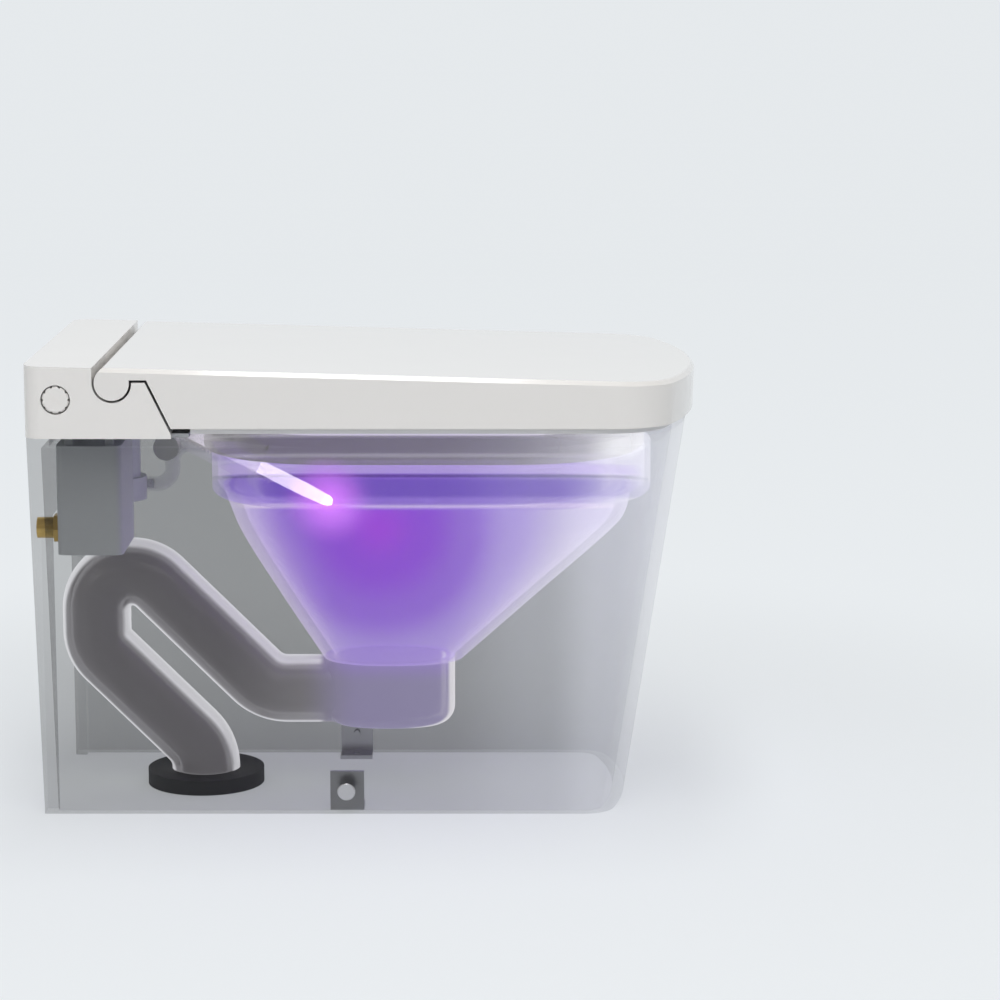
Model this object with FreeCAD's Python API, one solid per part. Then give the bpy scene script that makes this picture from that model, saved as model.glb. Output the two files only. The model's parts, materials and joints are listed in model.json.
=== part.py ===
import FreeCAD, Part
import math
import os

os.makedirs("parts", exist_ok=True)

# Driving dimensions, in millimetres and degrees.
# The origin is on the floor below the middle of the whole toilet.
# The user's front is -Y, the wall is +Y and +Z is up.

# Whole toilet
overall_length = 660.0
overall_width = 390.0
rim_height = 390.0
cut_overrun = 5.0
seal_gap = 0.3

# Ceramic skirt: it tapers in and leans back towards the foot
skirt_inset = 8.0
skirt_wall = 12.0
skirt_corner_radius = 92.0
front_arc_radius = 458.0
skirt_back_gap = 8.0
skirt_taper = 60.0
deck_thickness = 12.0
bay_side_gap = 35.0
bay_front_setback = 150.0
bay_back_setback = 26.0
back_door_side = 20.0
back_door_rise = 16.0

# Rim collar and flush ring round the bowl's mouth
collar_side_gap = 0.5
collar_front_gap = 50.0
collar_setback = 162.0
collar_height = 29.0
collar_width = 30.0
oval_corner_share = 0.75
oval_nose_share = 1.6
ring_side_gap = 1.5
ring_front_gap = 43.0
ring_setback = 170.0
ring_height = 46.0
ring_width = 41.0
ring_wall = 6.0
rim_jet_radius = 2.5
rim_jet_count = 6
jet_start = 30.0
jet_sweep = 300.0
rim_jet_slant = 4.0
port_setback = 200.0
port_drop = 52.0

# Bowl funnel: heights as shares of the height of the ring's underside, fronts and backs as shares of the ring's
bowl_height_shares = (1.0, 0.905, 0.651, 0.4254)
bowl_front_shares = (0.934, 0.906, 0.603, 0.3345)
bowl_back_shares = (0.931, 0.856, 0.581, 0.3)
bowl_side_gap = 44.9
bowl_wall = 13.0
bowl_sides = 56
bowl_squareness = 2.3

# Nozzle notch through the back of the collar and the ring
notch_left = -25.0
notch_right = 76.0
notch_setback = 230.0

# Sump well and trapway
well_half_width = 50.0
well_front_share = 0.303
well_wall = 9.0
well_chamfer = 16.0
trap_outer_radius = 35.0
trap_inner_radius = 27.0
trap_bend_radius = 46.0
weir_bend_radius = 38.0
weir_setback = 85.9
weir_height_share = 0.7048
weir_drop = 22.6
trap_leg_angle = 45.0
trap_foot_run = 12.5
mitre_step = 22.5
mitre_reach_share = 3.0
outlet_bottom = 4.0
socket_radius = 30.0
socket_depth = 10.0

# Outlet seal on the floor
seal_outer_radius = 60.0
seal_height = 15.5

# Floor fixing brackets
bracket_side_gap = 2.0
bracket_y = 20.0
bracket_width = 34.0
bracket_foot = 26.0
bracket_height = 40.0
bracket_plate = 4.0
floor_hole_radius = 3.5
side_screw_radius = 3.0
cap_radius = 9.0
cap_proud = 2.0
fixing_share = 0.6

# Lid
lid_lift = 10.0
lid_front_rise = 43.0
lid_slope = 1.54
lid_wall = 3.5
lid_corner_radius = 60.0
lid_loft_height = 70.0
lid_edge_chamfer = 4.0
seam_setback = 148.0
seam_lean = 25.8
seam_gap = 2.5
liner_drop = 14.0
liner_thickness = 2.5
liner_setback = 154.0
liner_gap = 0.5
liner_post_radius = 5.0
liner_post_share = 0.75
lid_buffer_radius = 6.0

# Hinge line of lid and seat
hinge_setback = 92.0
hinge_drop = 14.27
lid_end_radius = 16.8
lid_end_gap = 2.2
pin_radius = 5.0
pin_clearance = 0.06
lid_slot_rise = 13.8
barrel_radius = 9.0
inner_post_shares = (0.4513, 0.5333)
seat_barrel_shares = (0.5385, 0.6359)
lid_barrel_shares = (0.641, 0.7385)
outer_post_shares = (0.7436, 0.8256)
damper_radius = 8.0
damper_length = 30.0
post_depth = 20.0
tail_rise = 3.0
arm_root_setback = 126.0
arm_drop = 4.0
arm_tail = 30.0
arm_heel = 10.0
arm_knee_setback = 140.0
arm_clear = 3.5
arm_shoulder_setback = 132.0
arm_shoulder_rise = 4.0

# Seat
seat_side_gap = 8.0
seat_front_gap = 11.0
seat_setback = 166.0
seat_corner_radius = 66.0
seat_front_arc = 447.0
seat_lift = 4.0
seat_height = 30.0
seat_base_thickness = 4.0
seat_wall = 3.0
seat_chamfer = 5.0
seat_hole_side_gap = 87.0
seat_hole_front_share = 0.7212
seat_hole_back_share = 0.1879
heater_foil = 1.0
buffer_length = 30.0
buffer_width = 12.0
buffer_side_gap = 45.0
buffer_front_share = 0.6
buffer_back_share = 0.7
lid_buffer_back_share = 0.45

# Rear unit: tray, cover and their fixings
tray_thickness = 4.0
tray_side_gap = 11.0
tray_setback = 164.0
cover_setback = 6.0
screw_inset = 12.0
screw_boss_radius = 4.0
boss_share = 0.9
post_slot_gap = 0.8
cover_wall = 3.0
step_rise = 35.0
cover_side_wall = 7.0
cover_corner_radius = 18.0
cover_screw_radius = 2.0
cover_screw_head_radius = 3.6
cover_screw_head = 2.0
cover_screw_length = 12.0

# Nozzle line: it slopes down towards the front
nozzle_angle = 27.0
tip_setback = 291.5
tip_drop = 96.5
wand_radius = 7.0
wand_bore = 3.0
wand_length = 182.0
tip_length = 22.0
lamp_length = 9.0
lamp_radius = 5.5
guide_start = 84.0
guide_end = 292.0
guide_half_width = 18.0
guide_top = 12.0
guide_bottom = 16.0
guide_wall = 3.0
guide_clearance = 0.4

# Rack under the wand and its pinion
gear_module = 1.25
pinion_teeth = 14
pinion_width = 8.0
pinion_bore = 2.5
pressure_angle = 20.0
backlash = 0.25
root_share = 1.25
tooth_steps = 4
rack_teeth = 29
rack_teeth_ahead = 28
rack_half_width = 3.5
motor_offset = 21.0
collar_station = 110.0
collar_length = 14.0
ear_front_setback = 116.0
ear_back_setback = 86.0
ear_width = 9.0
lamp_seat = 0.3
spray_holes = 2
spray_radius = 0.9
pinion_station = 176.0
rack_root = 4.2
rack_land = 1.4
pinion_slot = 11.5
motor_radius = 13.0
motor_length = 20.0

# Dryer: duct, blower, impeller and flap, beside the nozzle
duct_left = 28.0
duct_right = 72.0
duct_half_height = 11.0
duct_wall = 2.5
duct_start = 86.0
duct_end = 244.0
blower_setback = 42.0
blower_rise = 34.0
blower_radius = 27.0
blower_left = 30.0
blower_right = 70.0
blower_wall = 3.0
impeller_radius = 20.0
impeller_hub_radius = 7.0
impeller_blades = 9
blade_thickness = 1.6
fan_gap = 1.5
shaft_radius = 2.5
hub_share = 0.5
flap_thickness = 2.0
flap_gap = 0.6
flap_pin_radius = 1.6

# Side knob in its dish, with the plunger behind it
knob_setback = 38.0
knob_rise = 38.0
knob_radius = 13.0
knob_depth = 9.0
knob_gap = 1.2
dish_depth = 12.0
dish_wall = 2.5
plunger_radius = 4.0
plunger_length = 16.0
plunger_flange_radius = 7.0
plunger_flange = 2.5
knob_travel = 2.5
knob_flutes = 10
flute_radius = 1.4

# Flush tank and pump in the bay behind the bowl
tank_side_gap = 45.0
tank_right = -45.0
tank_front_setback = 94.0
tank_back_setback = 30.0
tank_drop = 122.0
tank_top_drop = 14.0
tank_wall = 3.0
tank_edge_radius = 8.0
pump_x = 84.0
pump_setback = 62.0
pump_drop = 106.0
volute_radius = 30.0
volute_height = 24.0
volute_wall = 3.0
pump_rotor_radius = 22.0
pump_rotor_height = 8.0
pump_motor_radius = 24.0
pump_motor_height = 52.0
hose_radius = 8.0
hose_bore = 5.5
hose_drop_run = 28.0
hose_bend = 18.0
spigot_wall = 1.5
spigot_length = 8.0
rim_hose_setback = 184.0
rim_hose_x = 104.0
inlet_x_share = 0.441
inlet_drop = 106.0
inlet_thread_radius = 10.48
inlet_setback = 2.0
inlet_hex = 30.0
inlet_hex_depth = 8.0
inlet_bore = 6.0
inlet_flange_radius = 15.0
inlet_flange = 3.0
strainer_length = 16.0
strainer_radius = 5.0
strainer_wall = 1.0

# Parts that stand on the tray
heater_left = -84.0
heater_right = -34.0
heater_front_setback = 130.0
heater_back_setback = 104.0
heater_height = 23.0
heater_edge = 4.0
heater_ribs = 5
supply_slots = 6
filter_slots = 5
board_side_gap = 53.0
board_right = -32.0
board_front_setback = 66.0
board_back_setback = 14.0
board_lift = 6.0
board_thickness = 1.6
board_post_radius = 3.0
relay_height = 14.0
supply_left = 84.0
supply_right = 150.0
supply_front_setback = 68.0
supply_back_setback = 22.0
supply_height = 40.0
odour_x = 126.0
odour_setback = 118.0
odour_radius = 15.0
odour_height = 22.0
odour_wall = 2.0
odour_fan_radius = 11.0
odour_fan_height = 9.0
filter_left = 84.0
filter_right = 106.0
filter_front_setback = 131.0
filter_back_setback = 103.0
valve_x = -128.0
valve_radius = 11.0
valve_stub_radius = 5.0
valve_stub_length = 22.0
gland_x_share = 0.605
gland_rise = 22.0
gland_radius = 9.0
gland_bore = 4.5
gland_flange_radius = 13.0
gland_flange = 3.0
gland_inside = 10.0


def vec(x, y, z):
    return FreeCAD.Vector(x, y, z)


across = vec(1, 0, 0)
back_way = vec(0, 1, 0)
centre = vec(0, 0, 0)

full_turn = 2 * math.pi
quarter_turn = 90.0
half_length = overall_length / 2
half_width = overall_width / 2
lid_bottom = rim_height + lid_lift
deck_bottom = rim_height - deck_thickness
tray_top = rim_height + tray_thickness
skirt_half_width = half_width - skirt_inset
skirt_front = -half_length + skirt_inset
skirt_back = half_length - skirt_back_gap
seat_bottom = rim_height + seat_lift
seat_top = seat_bottom + seat_height
ring_top = rim_height - collar_height
ring_bottom = ring_top - ring_height


def top_height(y):
    # Height of the flat top, which rises gently towards the back
    return lid_bottom + lid_front_rise + (y + half_length) * math.tan(math.radians(lid_slope))


def skirt_inner_x(z):
    # Half width inside the straight side of the skirt at a height
    return skirt_half_width - skirt_taper * (1 - z / rim_height) - skirt_wall


collar_back = half_length - collar_setback
ring_back = half_length - ring_setback
port_front = half_length - port_setback
notch_front = half_length - notch_setback
deck_bay_front = half_length - bay_front_setback
deck_bay_back = half_length - bay_back_setback
seam_foot = half_length - seam_setback
liner_back = half_length - liner_setback
hinge_y = half_length - hinge_setback
arm_root = half_length - arm_root_setback
arm_knee_y = half_length - arm_knee_setback
arm_shoulder_y = half_length - arm_shoulder_setback
seat_back = half_length - seat_setback
tray_front = half_length - tray_setback
cover_back = half_length - cover_setback
tip_y = half_length - tip_setback
ear_front = half_length - ear_front_setback
ear_back = half_length - ear_back_setback
blower_y = half_length - blower_setback
knob_y = half_length - knob_setback
tank_front = half_length - tank_front_setback
tank_back = half_length - tank_back_setback
pump_y = half_length - pump_setback
rim_hose_end = half_length - rim_hose_setback
inlet_thread_end = half_length - inlet_setback
heater_front = half_length - heater_front_setback
heater_back = half_length - heater_back_setback
board_front = half_length - board_front_setback
board_back = half_length - board_back_setback
supply_front = half_length - supply_front_setback
supply_back = half_length - supply_back_setback
odour_y = half_length - odour_setback
filter_front = half_length - filter_front_setback
filter_back = half_length - filter_back_setback
collar_front = collar_front_gap - half_length
ring_front = ring_front_gap - half_length
seat_front = seat_front_gap - half_length
collar_half_width = skirt_inner_x(ring_top) - collar_side_gap
ring_half_width = skirt_inner_x(ring_bottom) - ring_side_gap
deck_bay_half_width = half_width - bay_side_gap
seat_half_width = half_width - seat_side_gap
seat_hole_half_width = half_width - seat_hole_side_gap
tray_half_width = half_width - tray_side_gap
buffer_x = half_width - buffer_side_gap
tank_left = tank_side_gap - half_width
board_left = board_side_gap - half_width
gland_x = half_width * gland_x_share
hinge_z = top_height(hinge_y) - hinge_drop
step_height = rim_height + step_rise
blower_z = rim_height + blower_rise
knob_z = rim_height + knob_rise
gland_z = rim_height + gland_rise
hose_height = rim_height - port_drop
tip_z = rim_height - tip_drop
tank_bottom = rim_height - tank_drop
tank_top = rim_height - tank_top_drop
pump_bottom = rim_height - pump_drop
inlet_z = rim_height - inlet_drop
inlet_x = -half_width * inlet_x_share
back_door_height = inlet_z + back_door_rise
back_door_half_width = back_door_side - inlet_x
inner_post = [half_width * share for share in inner_post_shares]
seat_barrel = [half_width * share for share in seat_barrel_shares]
lid_barrel = [half_width * share for share in lid_barrel_shares]
outer_post = [half_width * share for share in outer_post_shares]
bowl_heights = [ring_bottom * share for share in bowl_height_shares]
bowl_fronts = [ring_front * share for share in bowl_front_shares]
bowl_backs = [ring_back * share for share in bowl_back_shares]
bowl_half_width = half_width - bowl_side_gap
well_front = ring_front * well_front_share
well_back = bowl_backs[-1]
throat_y = (well_front + well_back) / 2
throat_z = bowl_heights[-1] - trap_outer_radius
well_bottom = throat_z - trap_outer_radius
seat_hole_front = -half_length * seat_hole_front_share
seat_hole_back = half_length * seat_hole_back_share
valve_y = (heater_front + heater_back) / 2

# Siphon: both legs lean alike, and the outlet stands where the falling leg brings it
trap_rise = 1 - math.cos(math.radians(trap_leg_angle))
trap_shift = math.sin(math.radians(trap_leg_angle))
weir_y = half_length - weir_setback
weir_z = ring_bottom * weir_height_share - weir_bend_radius
climb = weir_z + weir_bend_radius - throat_z - (trap_bend_radius + weir_bend_radius) * trap_rise
first_bend_y = weir_y - (trap_bend_radius + weir_bend_radius) * trap_shift - climb
fall = weir_z - weir_drop - outlet_bottom - trap_foot_run - (trap_bend_radius + weir_bend_radius) * trap_shift
outlet_y = weir_y + (weir_bend_radius - trap_bend_radius * trap_rise / trap_shift) * trap_shift - fall


def block(x0, x1, y0, y1, z0, z1):
    return Part.makeBox(x1 - x0, y1 - y0, z1 - z0, vec(x0, y0, z0))


def rod(radius, start, end):
    way = end - start
    return Part.makeCylinder(radius, way.Length, start, way)


def tube(radius, bore, start, end):
    return rod(radius, start, end).cut(rod(bore, start, end))


def cross_rod(radius, x0, x1, y, z):
    return rod(radius, vec(x0, y, z), vec(x1, y, z))


def side_prism(points, x0, x1):
    # A closed outline of (y, z) points, carried across the width
    corners = [vec(x0, y, z) for y, z in points]
    wire = Part.makePolygon(corners + corners[:1])
    return Part.Face(wire).extrude(vec(x1 - x0, 0, 0))


def prism(wire, height):
    return Part.Face(wire).extrude(vec(0, 0, height))


def fuse_all(shapes):
    whole = shapes[0]
    for shape in shapes[1:]:
        whole = whole.fuse(shape)
    return whole.removeSplitter()


def cut_all(shape, tools):
    for tool in tools:
        shape = shape.cut(tool)
    return shape


def both_sides(shape):
    # The shape and its mirror image in the middle plane, as one group
    return Part.makeCompound([shape, shape.mirror(centre, across)])


def flat_outline(half, front, back, corner, nose, z):
    # Straight back and sides, round front corners and a shallow front arc
    nose_centre = vec(0, front + nose, z)
    corner_x = half - corner
    corner_y = nose_centre.y - math.sqrt((nose - corner) ** 2 - corner_x ** 2)
    turn = math.atan2(corner_x, nose_centre.y - corner_y)
    joint_x = nose * math.sin(turn)
    joint_y = nose_centre.y - nose * math.cos(turn)
    mid_x = corner_x + corner * math.cos(turn / 2 - math.pi / 4)
    mid_y = corner_y + corner * math.sin(turn / 2 - math.pi / 4)
    right = [
        Part.LineSegment(vec(half, back, z), vec(half, corner_y, z)).toShape(),
        Part.Arc(vec(half, corner_y, z), vec(mid_x, mid_y, z), vec(joint_x, joint_y, z)).toShape(),
    ]
    front_arc = Part.Arc(vec(joint_x, joint_y, z), vec(0, front, z), vec(-joint_x, joint_y, z)).toShape()
    left = [
        Part.Arc(vec(-joint_x, joint_y, z), vec(-mid_x, mid_y, z), vec(-half, corner_y, z)).toShape(),
        Part.LineSegment(vec(-half, corner_y, z), vec(-half, back, z)).toShape(),
    ]
    rear = [Part.LineSegment(vec(-half, back, z), vec(half, back, z)).toShape()]
    return Part.Wire(right + [front_arc] + left + rear)


def oval_end(half, end, way, z):
    # The points of one rounded end: side, corner middle, joint and nose
    corner = half * oval_corner_share
    nose = half * oval_nose_share
    nose_y = end - way * nose
    corner_x = half - corner
    reach = math.sqrt((nose - corner) ** 2 - corner_x ** 2)
    corner_y = nose_y + way * reach
    turn = math.atan2(corner_x, reach)
    joint = (nose * math.sin(turn), nose_y + way * nose * math.cos(turn))
    lean = math.pi / 4 - turn / 2
    middle = (corner_x + corner * math.cos(lean), corner_y + way * corner * math.sin(lean))
    return [vec(half, corner_y, z), vec(middle[0], middle[1], z), vec(joint[0], joint[1], z), vec(0, end, z)]


def flipped(point):
    return vec(-point.x, point.y, point.z)


def oval_outline(half, front, back, z):
    # A long oval: arcs at both ends, joined by straight sides
    f_side, f_mid, f_joint, f_nose = oval_end(half, front, -1, z)
    b_side, b_mid, b_joint, b_nose = oval_end(half, back, 1, z)
    edges = [
        Part.LineSegment(b_side, f_side).toShape(),
        Part.Arc(f_side, f_mid, f_joint).toShape(),
        Part.Arc(f_joint, f_nose, flipped(f_joint)).toShape(),
        Part.Arc(flipped(f_joint), flipped(f_mid), flipped(f_side)).toShape(),
        Part.LineSegment(flipped(f_side), flipped(b_side)).toShape(),
        Part.Arc(flipped(b_side), flipped(b_mid), flipped(b_joint)).toShape(),
        Part.Arc(flipped(b_joint), b_nose, b_joint).toShape(),
        Part.Arc(b_joint, b_mid, b_side).toShape(),
    ]
    return Part.Wire(edges)


def oval_prism(half, front, back, inset, z0, z1):
    return prism(oval_outline(half - inset, front + inset, back - inset, z0), z1 - z0)


def under_top(drop):
    # Everything below the flat top, which the drop lowers
    front = -half_length - cut_overrun
    back = half_length + cut_overrun
    points = [(front, 0), (back, 0), (back, top_height(back) - drop), (front, top_height(front) - drop)]
    return side_prism(points, -half_width - cut_overrun, half_width + cut_overrun)


def skirt_loft(inset):
    # The foot's outline and the rim's: front and sides draw in evenly, the back stays upright
    wires = []
    for draw, height in ((inset + skirt_taper, 0), (inset, rim_height)):
        wires.append(flat_outline(
            skirt_half_width - draw,
            skirt_front + draw,
            skirt_back - inset,
            skirt_corner_radius - draw,
            front_arc_radius - draw,
            height,
        ))
    return Part.makeLoft(wires, True, True)


def notch(top, overrun):
    return block(notch_left - overrun, notch_right + overrun, notch_front, deck_bay_front, 0, top)


def pan_skirt():
    # One hollow casting: the skirt, and the deck round the bowl's mouth
    shell = skirt_loft(0)
    hollow = skirt_loft(skirt_wall).cut(
        block(-half_width, half_width, -half_length, half_length, deck_bottom, rim_height + cut_overrun))
    mouth = oval_prism(collar_half_width, collar_front, collar_back, -seal_gap, deck_bottom, rim_height)
    bay = block(-deck_bay_half_width, deck_bay_half_width, deck_bay_front, deck_bay_back, deck_bottom, rim_height)
    door = block(-back_door_half_width, back_door_half_width, skirt_back - 2 * skirt_wall,
                 half_length, 0, back_door_height)
    throat = notch(rim_height, 0).common(
        block(-half_width, half_width, notch_front, deck_bay_front, deck_bottom, rim_height))
    side_holes = [cross_rod(cap_radius / 2, x0, x1, bracket_y, bracket_height * fixing_share)
                  for x0, x1 in ((-half_width, 0), (0, half_width))]
    return cut_all(shell, [hollow, mouth, bay, door, throat] + side_holes)


def rim_collar():
    outer = oval_prism(collar_half_width, collar_front, collar_back, 0, ring_top, rim_height)
    inner = oval_prism(collar_half_width, collar_front, collar_back, collar_width, ring_top, rim_height)
    return cut_all(outer, [inner, notch(rim_height + cut_overrun, 0)])


def flush_ring():
    # A hollow square channel that ends in a wall each side of the nozzle notch
    outer = oval_prism(ring_half_width, ring_front, ring_back, 0, ring_bottom, ring_top)
    inner = oval_prism(ring_half_width, ring_front, ring_back, ring_width, ring_bottom, ring_top)
    low = ring_bottom + ring_wall
    high = ring_top - ring_wall
    duct = oval_prism(ring_half_width, ring_front, ring_back, ring_wall, low, high)
    duct = duct.cut(oval_prism(ring_half_width, ring_front, ring_back, ring_width - ring_wall, low, high))
    duct = duct.cut(notch(rim_height, ring_wall))
    ring = cut_all(outer, [inner, notch(rim_height, 0), duct])
    middle = (ring_front + ring_back) / 2
    reach_x = ring_half_width - ring_width + ring_wall
    reach_y = (ring_back - ring_front) / 2 - ring_width + ring_wall
    for index in range(rim_jet_count):
        angle = math.radians(jet_start + jet_sweep * index / (rim_jet_count - 1))
        spot = vec(reach_x * math.sin(angle), middle - reach_y * math.cos(angle), ring_bottom)
        inward = vec(-rim_jet_slant * math.sin(angle), rim_jet_slant * math.cos(angle), -2 * ring_wall)
        ring = ring.cut(rod(rim_jet_radius, spot - inward, spot + inward))
    port = rod(hose_bore, vec(rim_hose_x, ring_back, hose_height), vec(rim_hose_x, port_front, hose_height))
    return ring.cut(port)


def bowl_ring(front, back, z):
    # Rounded oval by formula: a superellipse between the front and the back
    middle = (front + back) / 2
    reach = (back - front) / 2
    half = bowl_half_width * 2 * reach / (bowl_backs[0] - bowl_fronts[0])
    power = 2 / bowl_squareness
    points = []
    for index in range(bowl_sides):
        angle = full_turn * index / bowl_sides
        x = half * math.copysign(abs(math.cos(angle)) ** power, math.cos(angle))
        y = reach * math.copysign(abs(math.sin(angle)) ** power, math.sin(angle))
        points.append(vec(x, middle + y, z))
    return points


def flat_face(points):
    return Part.Face(Part.makePolygon(points + points[:1]))


def banded_solid(rings):
    # Flat faces between rings of the same shape, closed at the first and the last
    faces = [flat_face(rings[0]), flat_face(rings[-1])]
    for low, high in zip(rings, rings[1:]):
        for index in range(len(low)):
            faces.append(flat_face([low[index - 1], low[index], high[index], high[index - 1]]))
    return Part.Solid(Part.Shell(faces))


def bowl():
    rows = list(zip(bowl_fronts, bowl_backs, bowl_heights))
    outer = banded_solid([bowl_ring(front, back, z) for front, back, z in rows])
    inner = banded_solid([bowl_ring(front + bowl_wall, back - bowl_wall, z) for front, back, z in rows])
    return outer.cut(inner)


def bend_spots(corner, back, on, radius):
    # Points of a bend where its short straight lengths meet, from a corner and the ways to its neighbours
    turn = math.pi - back.getAngle(on)
    count = math.ceil(math.degrees(turn) / mitre_step)
    half_step = turn / count / 2
    hub = corner + (back + on).normalize() * (radius / math.cos(turn / 2))
    start = corner + back * (radius * math.tan(turn / 2)) - hub
    axis = start.cross(corner - hub).normalize()
    spots = []
    for index in range(count):
        spoke = FreeCAD.Rotation(axis, math.degrees(half_step * (2 * index + 1))).multVec(start)
        spots.append(hub + spoke / math.cos(half_step))
    return spots


def rounded_route(corners, radius):
    # A middle line through the corners, each corner rounded by a bend
    spots = [corners[0]]
    for before, corner, after in zip(corners, corners[1:], corners[2:]):
        back = (before - corner).normalize()
        on = (after - corner).normalize()
        spots += bend_spots(corner, back, on, radius)
    return spots + [corners[-1]]


def mitred_pipe(radius, spots):
    # Straight round lengths along the middle line, cut where they meet
    ways = [(end - start).normalize() for start, end in zip(spots, spots[1:])]
    cuts = [ways[0]] + [(one + two).normalize() for one, two in zip(ways, ways[1:])] + [ways[-1]]
    reach = radius * mitre_reach_share
    lengths = []
    for index, way in enumerate(ways):
        start = spots[index]
        end = spots[index + 1]
        length = rod(radius, start - way * radius, end + way * radius)
        length = length.cut(rod(reach, start, start - cuts[index] * reach))
        lengths.append(length.cut(rod(reach, end, end + cuts[index + 1] * reach)))
    return fuse_all(lengths)


def heading_way(angle):
    return vec(0, math.cos(math.radians(angle)), math.sin(math.radians(angle)))


def turned_route(start, rows):
    # A middle line in the middle plane; each row is a straight run, the turn after it and its radius
    spots = [start]
    spot = start
    heading = 0.0
    for run, turn, radius in rows:
        spot = spot + heading_way(heading) * run
        count = math.ceil(abs(turn) / mitre_step)
        for index in range(count):
            reach = radius * math.tan(math.radians(abs(turn) / count) / 2)
            spot = spot + heading_way(heading) * reach
            spots.append(spot)
            heading += turn / count
            spot = spot + heading_way(heading) * reach
    return spots + [spot]


def trap_route():
    # Back from the well, up a sloping leg, over the weir, down a leg that comes forward, and down to the floor
    rows = [
        (first_bend_y - throat_y, trap_leg_angle, trap_bend_radius),
        (climb / trap_shift, -quarter_turn - trap_leg_angle, weir_bend_radius),
        (weir_drop, -trap_leg_angle, weir_bend_radius),
        (fall / trap_shift, trap_leg_angle, trap_bend_radius),
        (trap_foot_run, 0, trap_bend_radius),
    ]
    return turned_route(vec(0, throat_y, throat_z), rows)


def siphon():
    # The sump well with its throat, rising leg, weir bend, falling leg and outlet socket
    well_top = bowl_heights[-1]
    outer = oval_prism(well_half_width, well_front, well_back, 0, well_bottom, well_top)
    floor_edges = [e for e in outer.Edges if e.BoundBox.ZMax < well_bottom + seal_gap]
    outer = outer.makeChamfer(well_chamfer, floor_edges)
    inner = oval_prism(well_half_width, well_front, well_back, well_wall, well_bottom + well_wall, well_top)
    route = trap_route()
    whole = fuse_all([outer, mitred_pipe(trap_outer_radius, route)])
    socket = rod(socket_radius, vec(0, outlet_y, outlet_bottom), vec(0, outlet_y, outlet_bottom + socket_depth))
    return cut_all(whole, [inner, mitred_pipe(trap_inner_radius, route), socket]).removeSplitter()


def sump():
    # The well and the straight throat behind it, up to the first bend
    return siphon().common(block(-half_width, half_width, -half_length, first_bend_y, 0, rim_height))


def trapway():
    # The siphon from its first bend to the outlet
    return siphon().common(block(-half_width, half_width, first_bend_y, half_length, 0, rim_height))


def outlet_seal():
    # Soft ring that beds the outlet on the drain collar
    return tube(seal_outer_radius, trap_outer_radius + seal_gap, vec(0, outlet_y, 0), vec(0, outlet_y, seal_height))


def bracket_outer_x():
    return skirt_inner_x(0) - bracket_side_gap


def floor_brackets():
    # Angle brackets inside the foot: one hole for the floor screw, one for the side screw
    outer_x = bracket_outer_x()
    inner_x = outer_x - bracket_foot
    y0 = bracket_y - bracket_width / 2
    y1 = bracket_y + bracket_width / 2
    foot = block(inner_x, outer_x, y0, y1, 0, bracket_plate)
    wall = block(outer_x - bracket_plate, outer_x, y0, y1, 0, bracket_height)
    side_z = bracket_height * fixing_share
    spot = outer_x - bracket_foot / 2
    holes = [
        rod(floor_hole_radius, vec(spot, bracket_y, 0), vec(spot, bracket_y, bracket_plate)),
        cross_rod(floor_hole_radius, outer_x - bracket_plate, outer_x, bracket_y, side_z),
    ]
    return both_sides(cut_all(foot.fuse(wall).removeSplitter(), holes))


def side_fixings():
    # Side screw, and on its head the cap that hides it in the skirt
    side_z = bracket_height * fixing_share
    start = bracket_outer_x()
    face = skirt_inner_x(side_z) + skirt_wall
    stem = cross_rod(side_screw_radius, start - 2 * bracket_plate, face - bracket_plate, bracket_y, side_z)
    head = cross_rod(cap_radius / 2 - seal_gap, face - bracket_plate, face + cap_proud, bracket_y, side_z)
    cap = cross_rod(cap_radius, face - cap_proud, face + cap_proud, bracket_y, side_z)
    cap = cap.makeChamfer(cap_proud / 2, [e for e in cap.Edges if e.BoundBox.XMin > face + cap_proud / 2])
    return both_sides(fuse_all([stem, head, cap.cut(skirt_loft(-seal_gap))]))


def lid_prism(inset):
    # The lid's outline, drawn in evenly by the inset, with walls that stand square to its top
    outline = flat_outline(half_width - inset, -half_length + inset, half_length, lid_corner_radius - inset,
                           front_arc_radius - inset, rim_height - lid_front_rise)
    walls = prism(outline, lid_loft_height + 2 * lid_front_rise)
    walls.rotate(vec(0, -half_length, lid_bottom + lid_front_rise), across, lid_slope)
    return walls


def seam_y(z):
    return seam_foot + (z - lid_bottom) * math.tan(math.radians(seam_lean))


def lid_side(inset, seam_overrun):
    # Side view of the lid: slanted seam, thin tail and the round end about the hinge line
    front = -half_length - cut_overrun
    high = lid_bottom + lid_loft_height
    tail_z = hinge_z + tail_rise
    reach = half_width + cut_overrun
    end = lid_end_radius - inset
    low = lid_bottom - inset
    points = [(front, low), (seam_y(low) + seam_overrun, low), (seam_y(tail_z) + seam_overrun, tail_z),
              (hinge_y, tail_z), (hinge_y, high), (front, high)]
    plate = side_prism(points, -reach, reach)
    return plate.fuse(cross_rod(end, -reach, reach, hinge_y, hinge_z))


def top_rim(shape):
    # The edges round the top, but for the straight one at the back
    rim = []
    for edge in shape.Edges:
        on_top = all(spot.z > top_height(spot.y) - seal_gap for spot in edge.discretize(3))
        if on_top and edge.BoundBox.YLength > seal_gap:
            rim.append(edge)
    return rim


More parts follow.
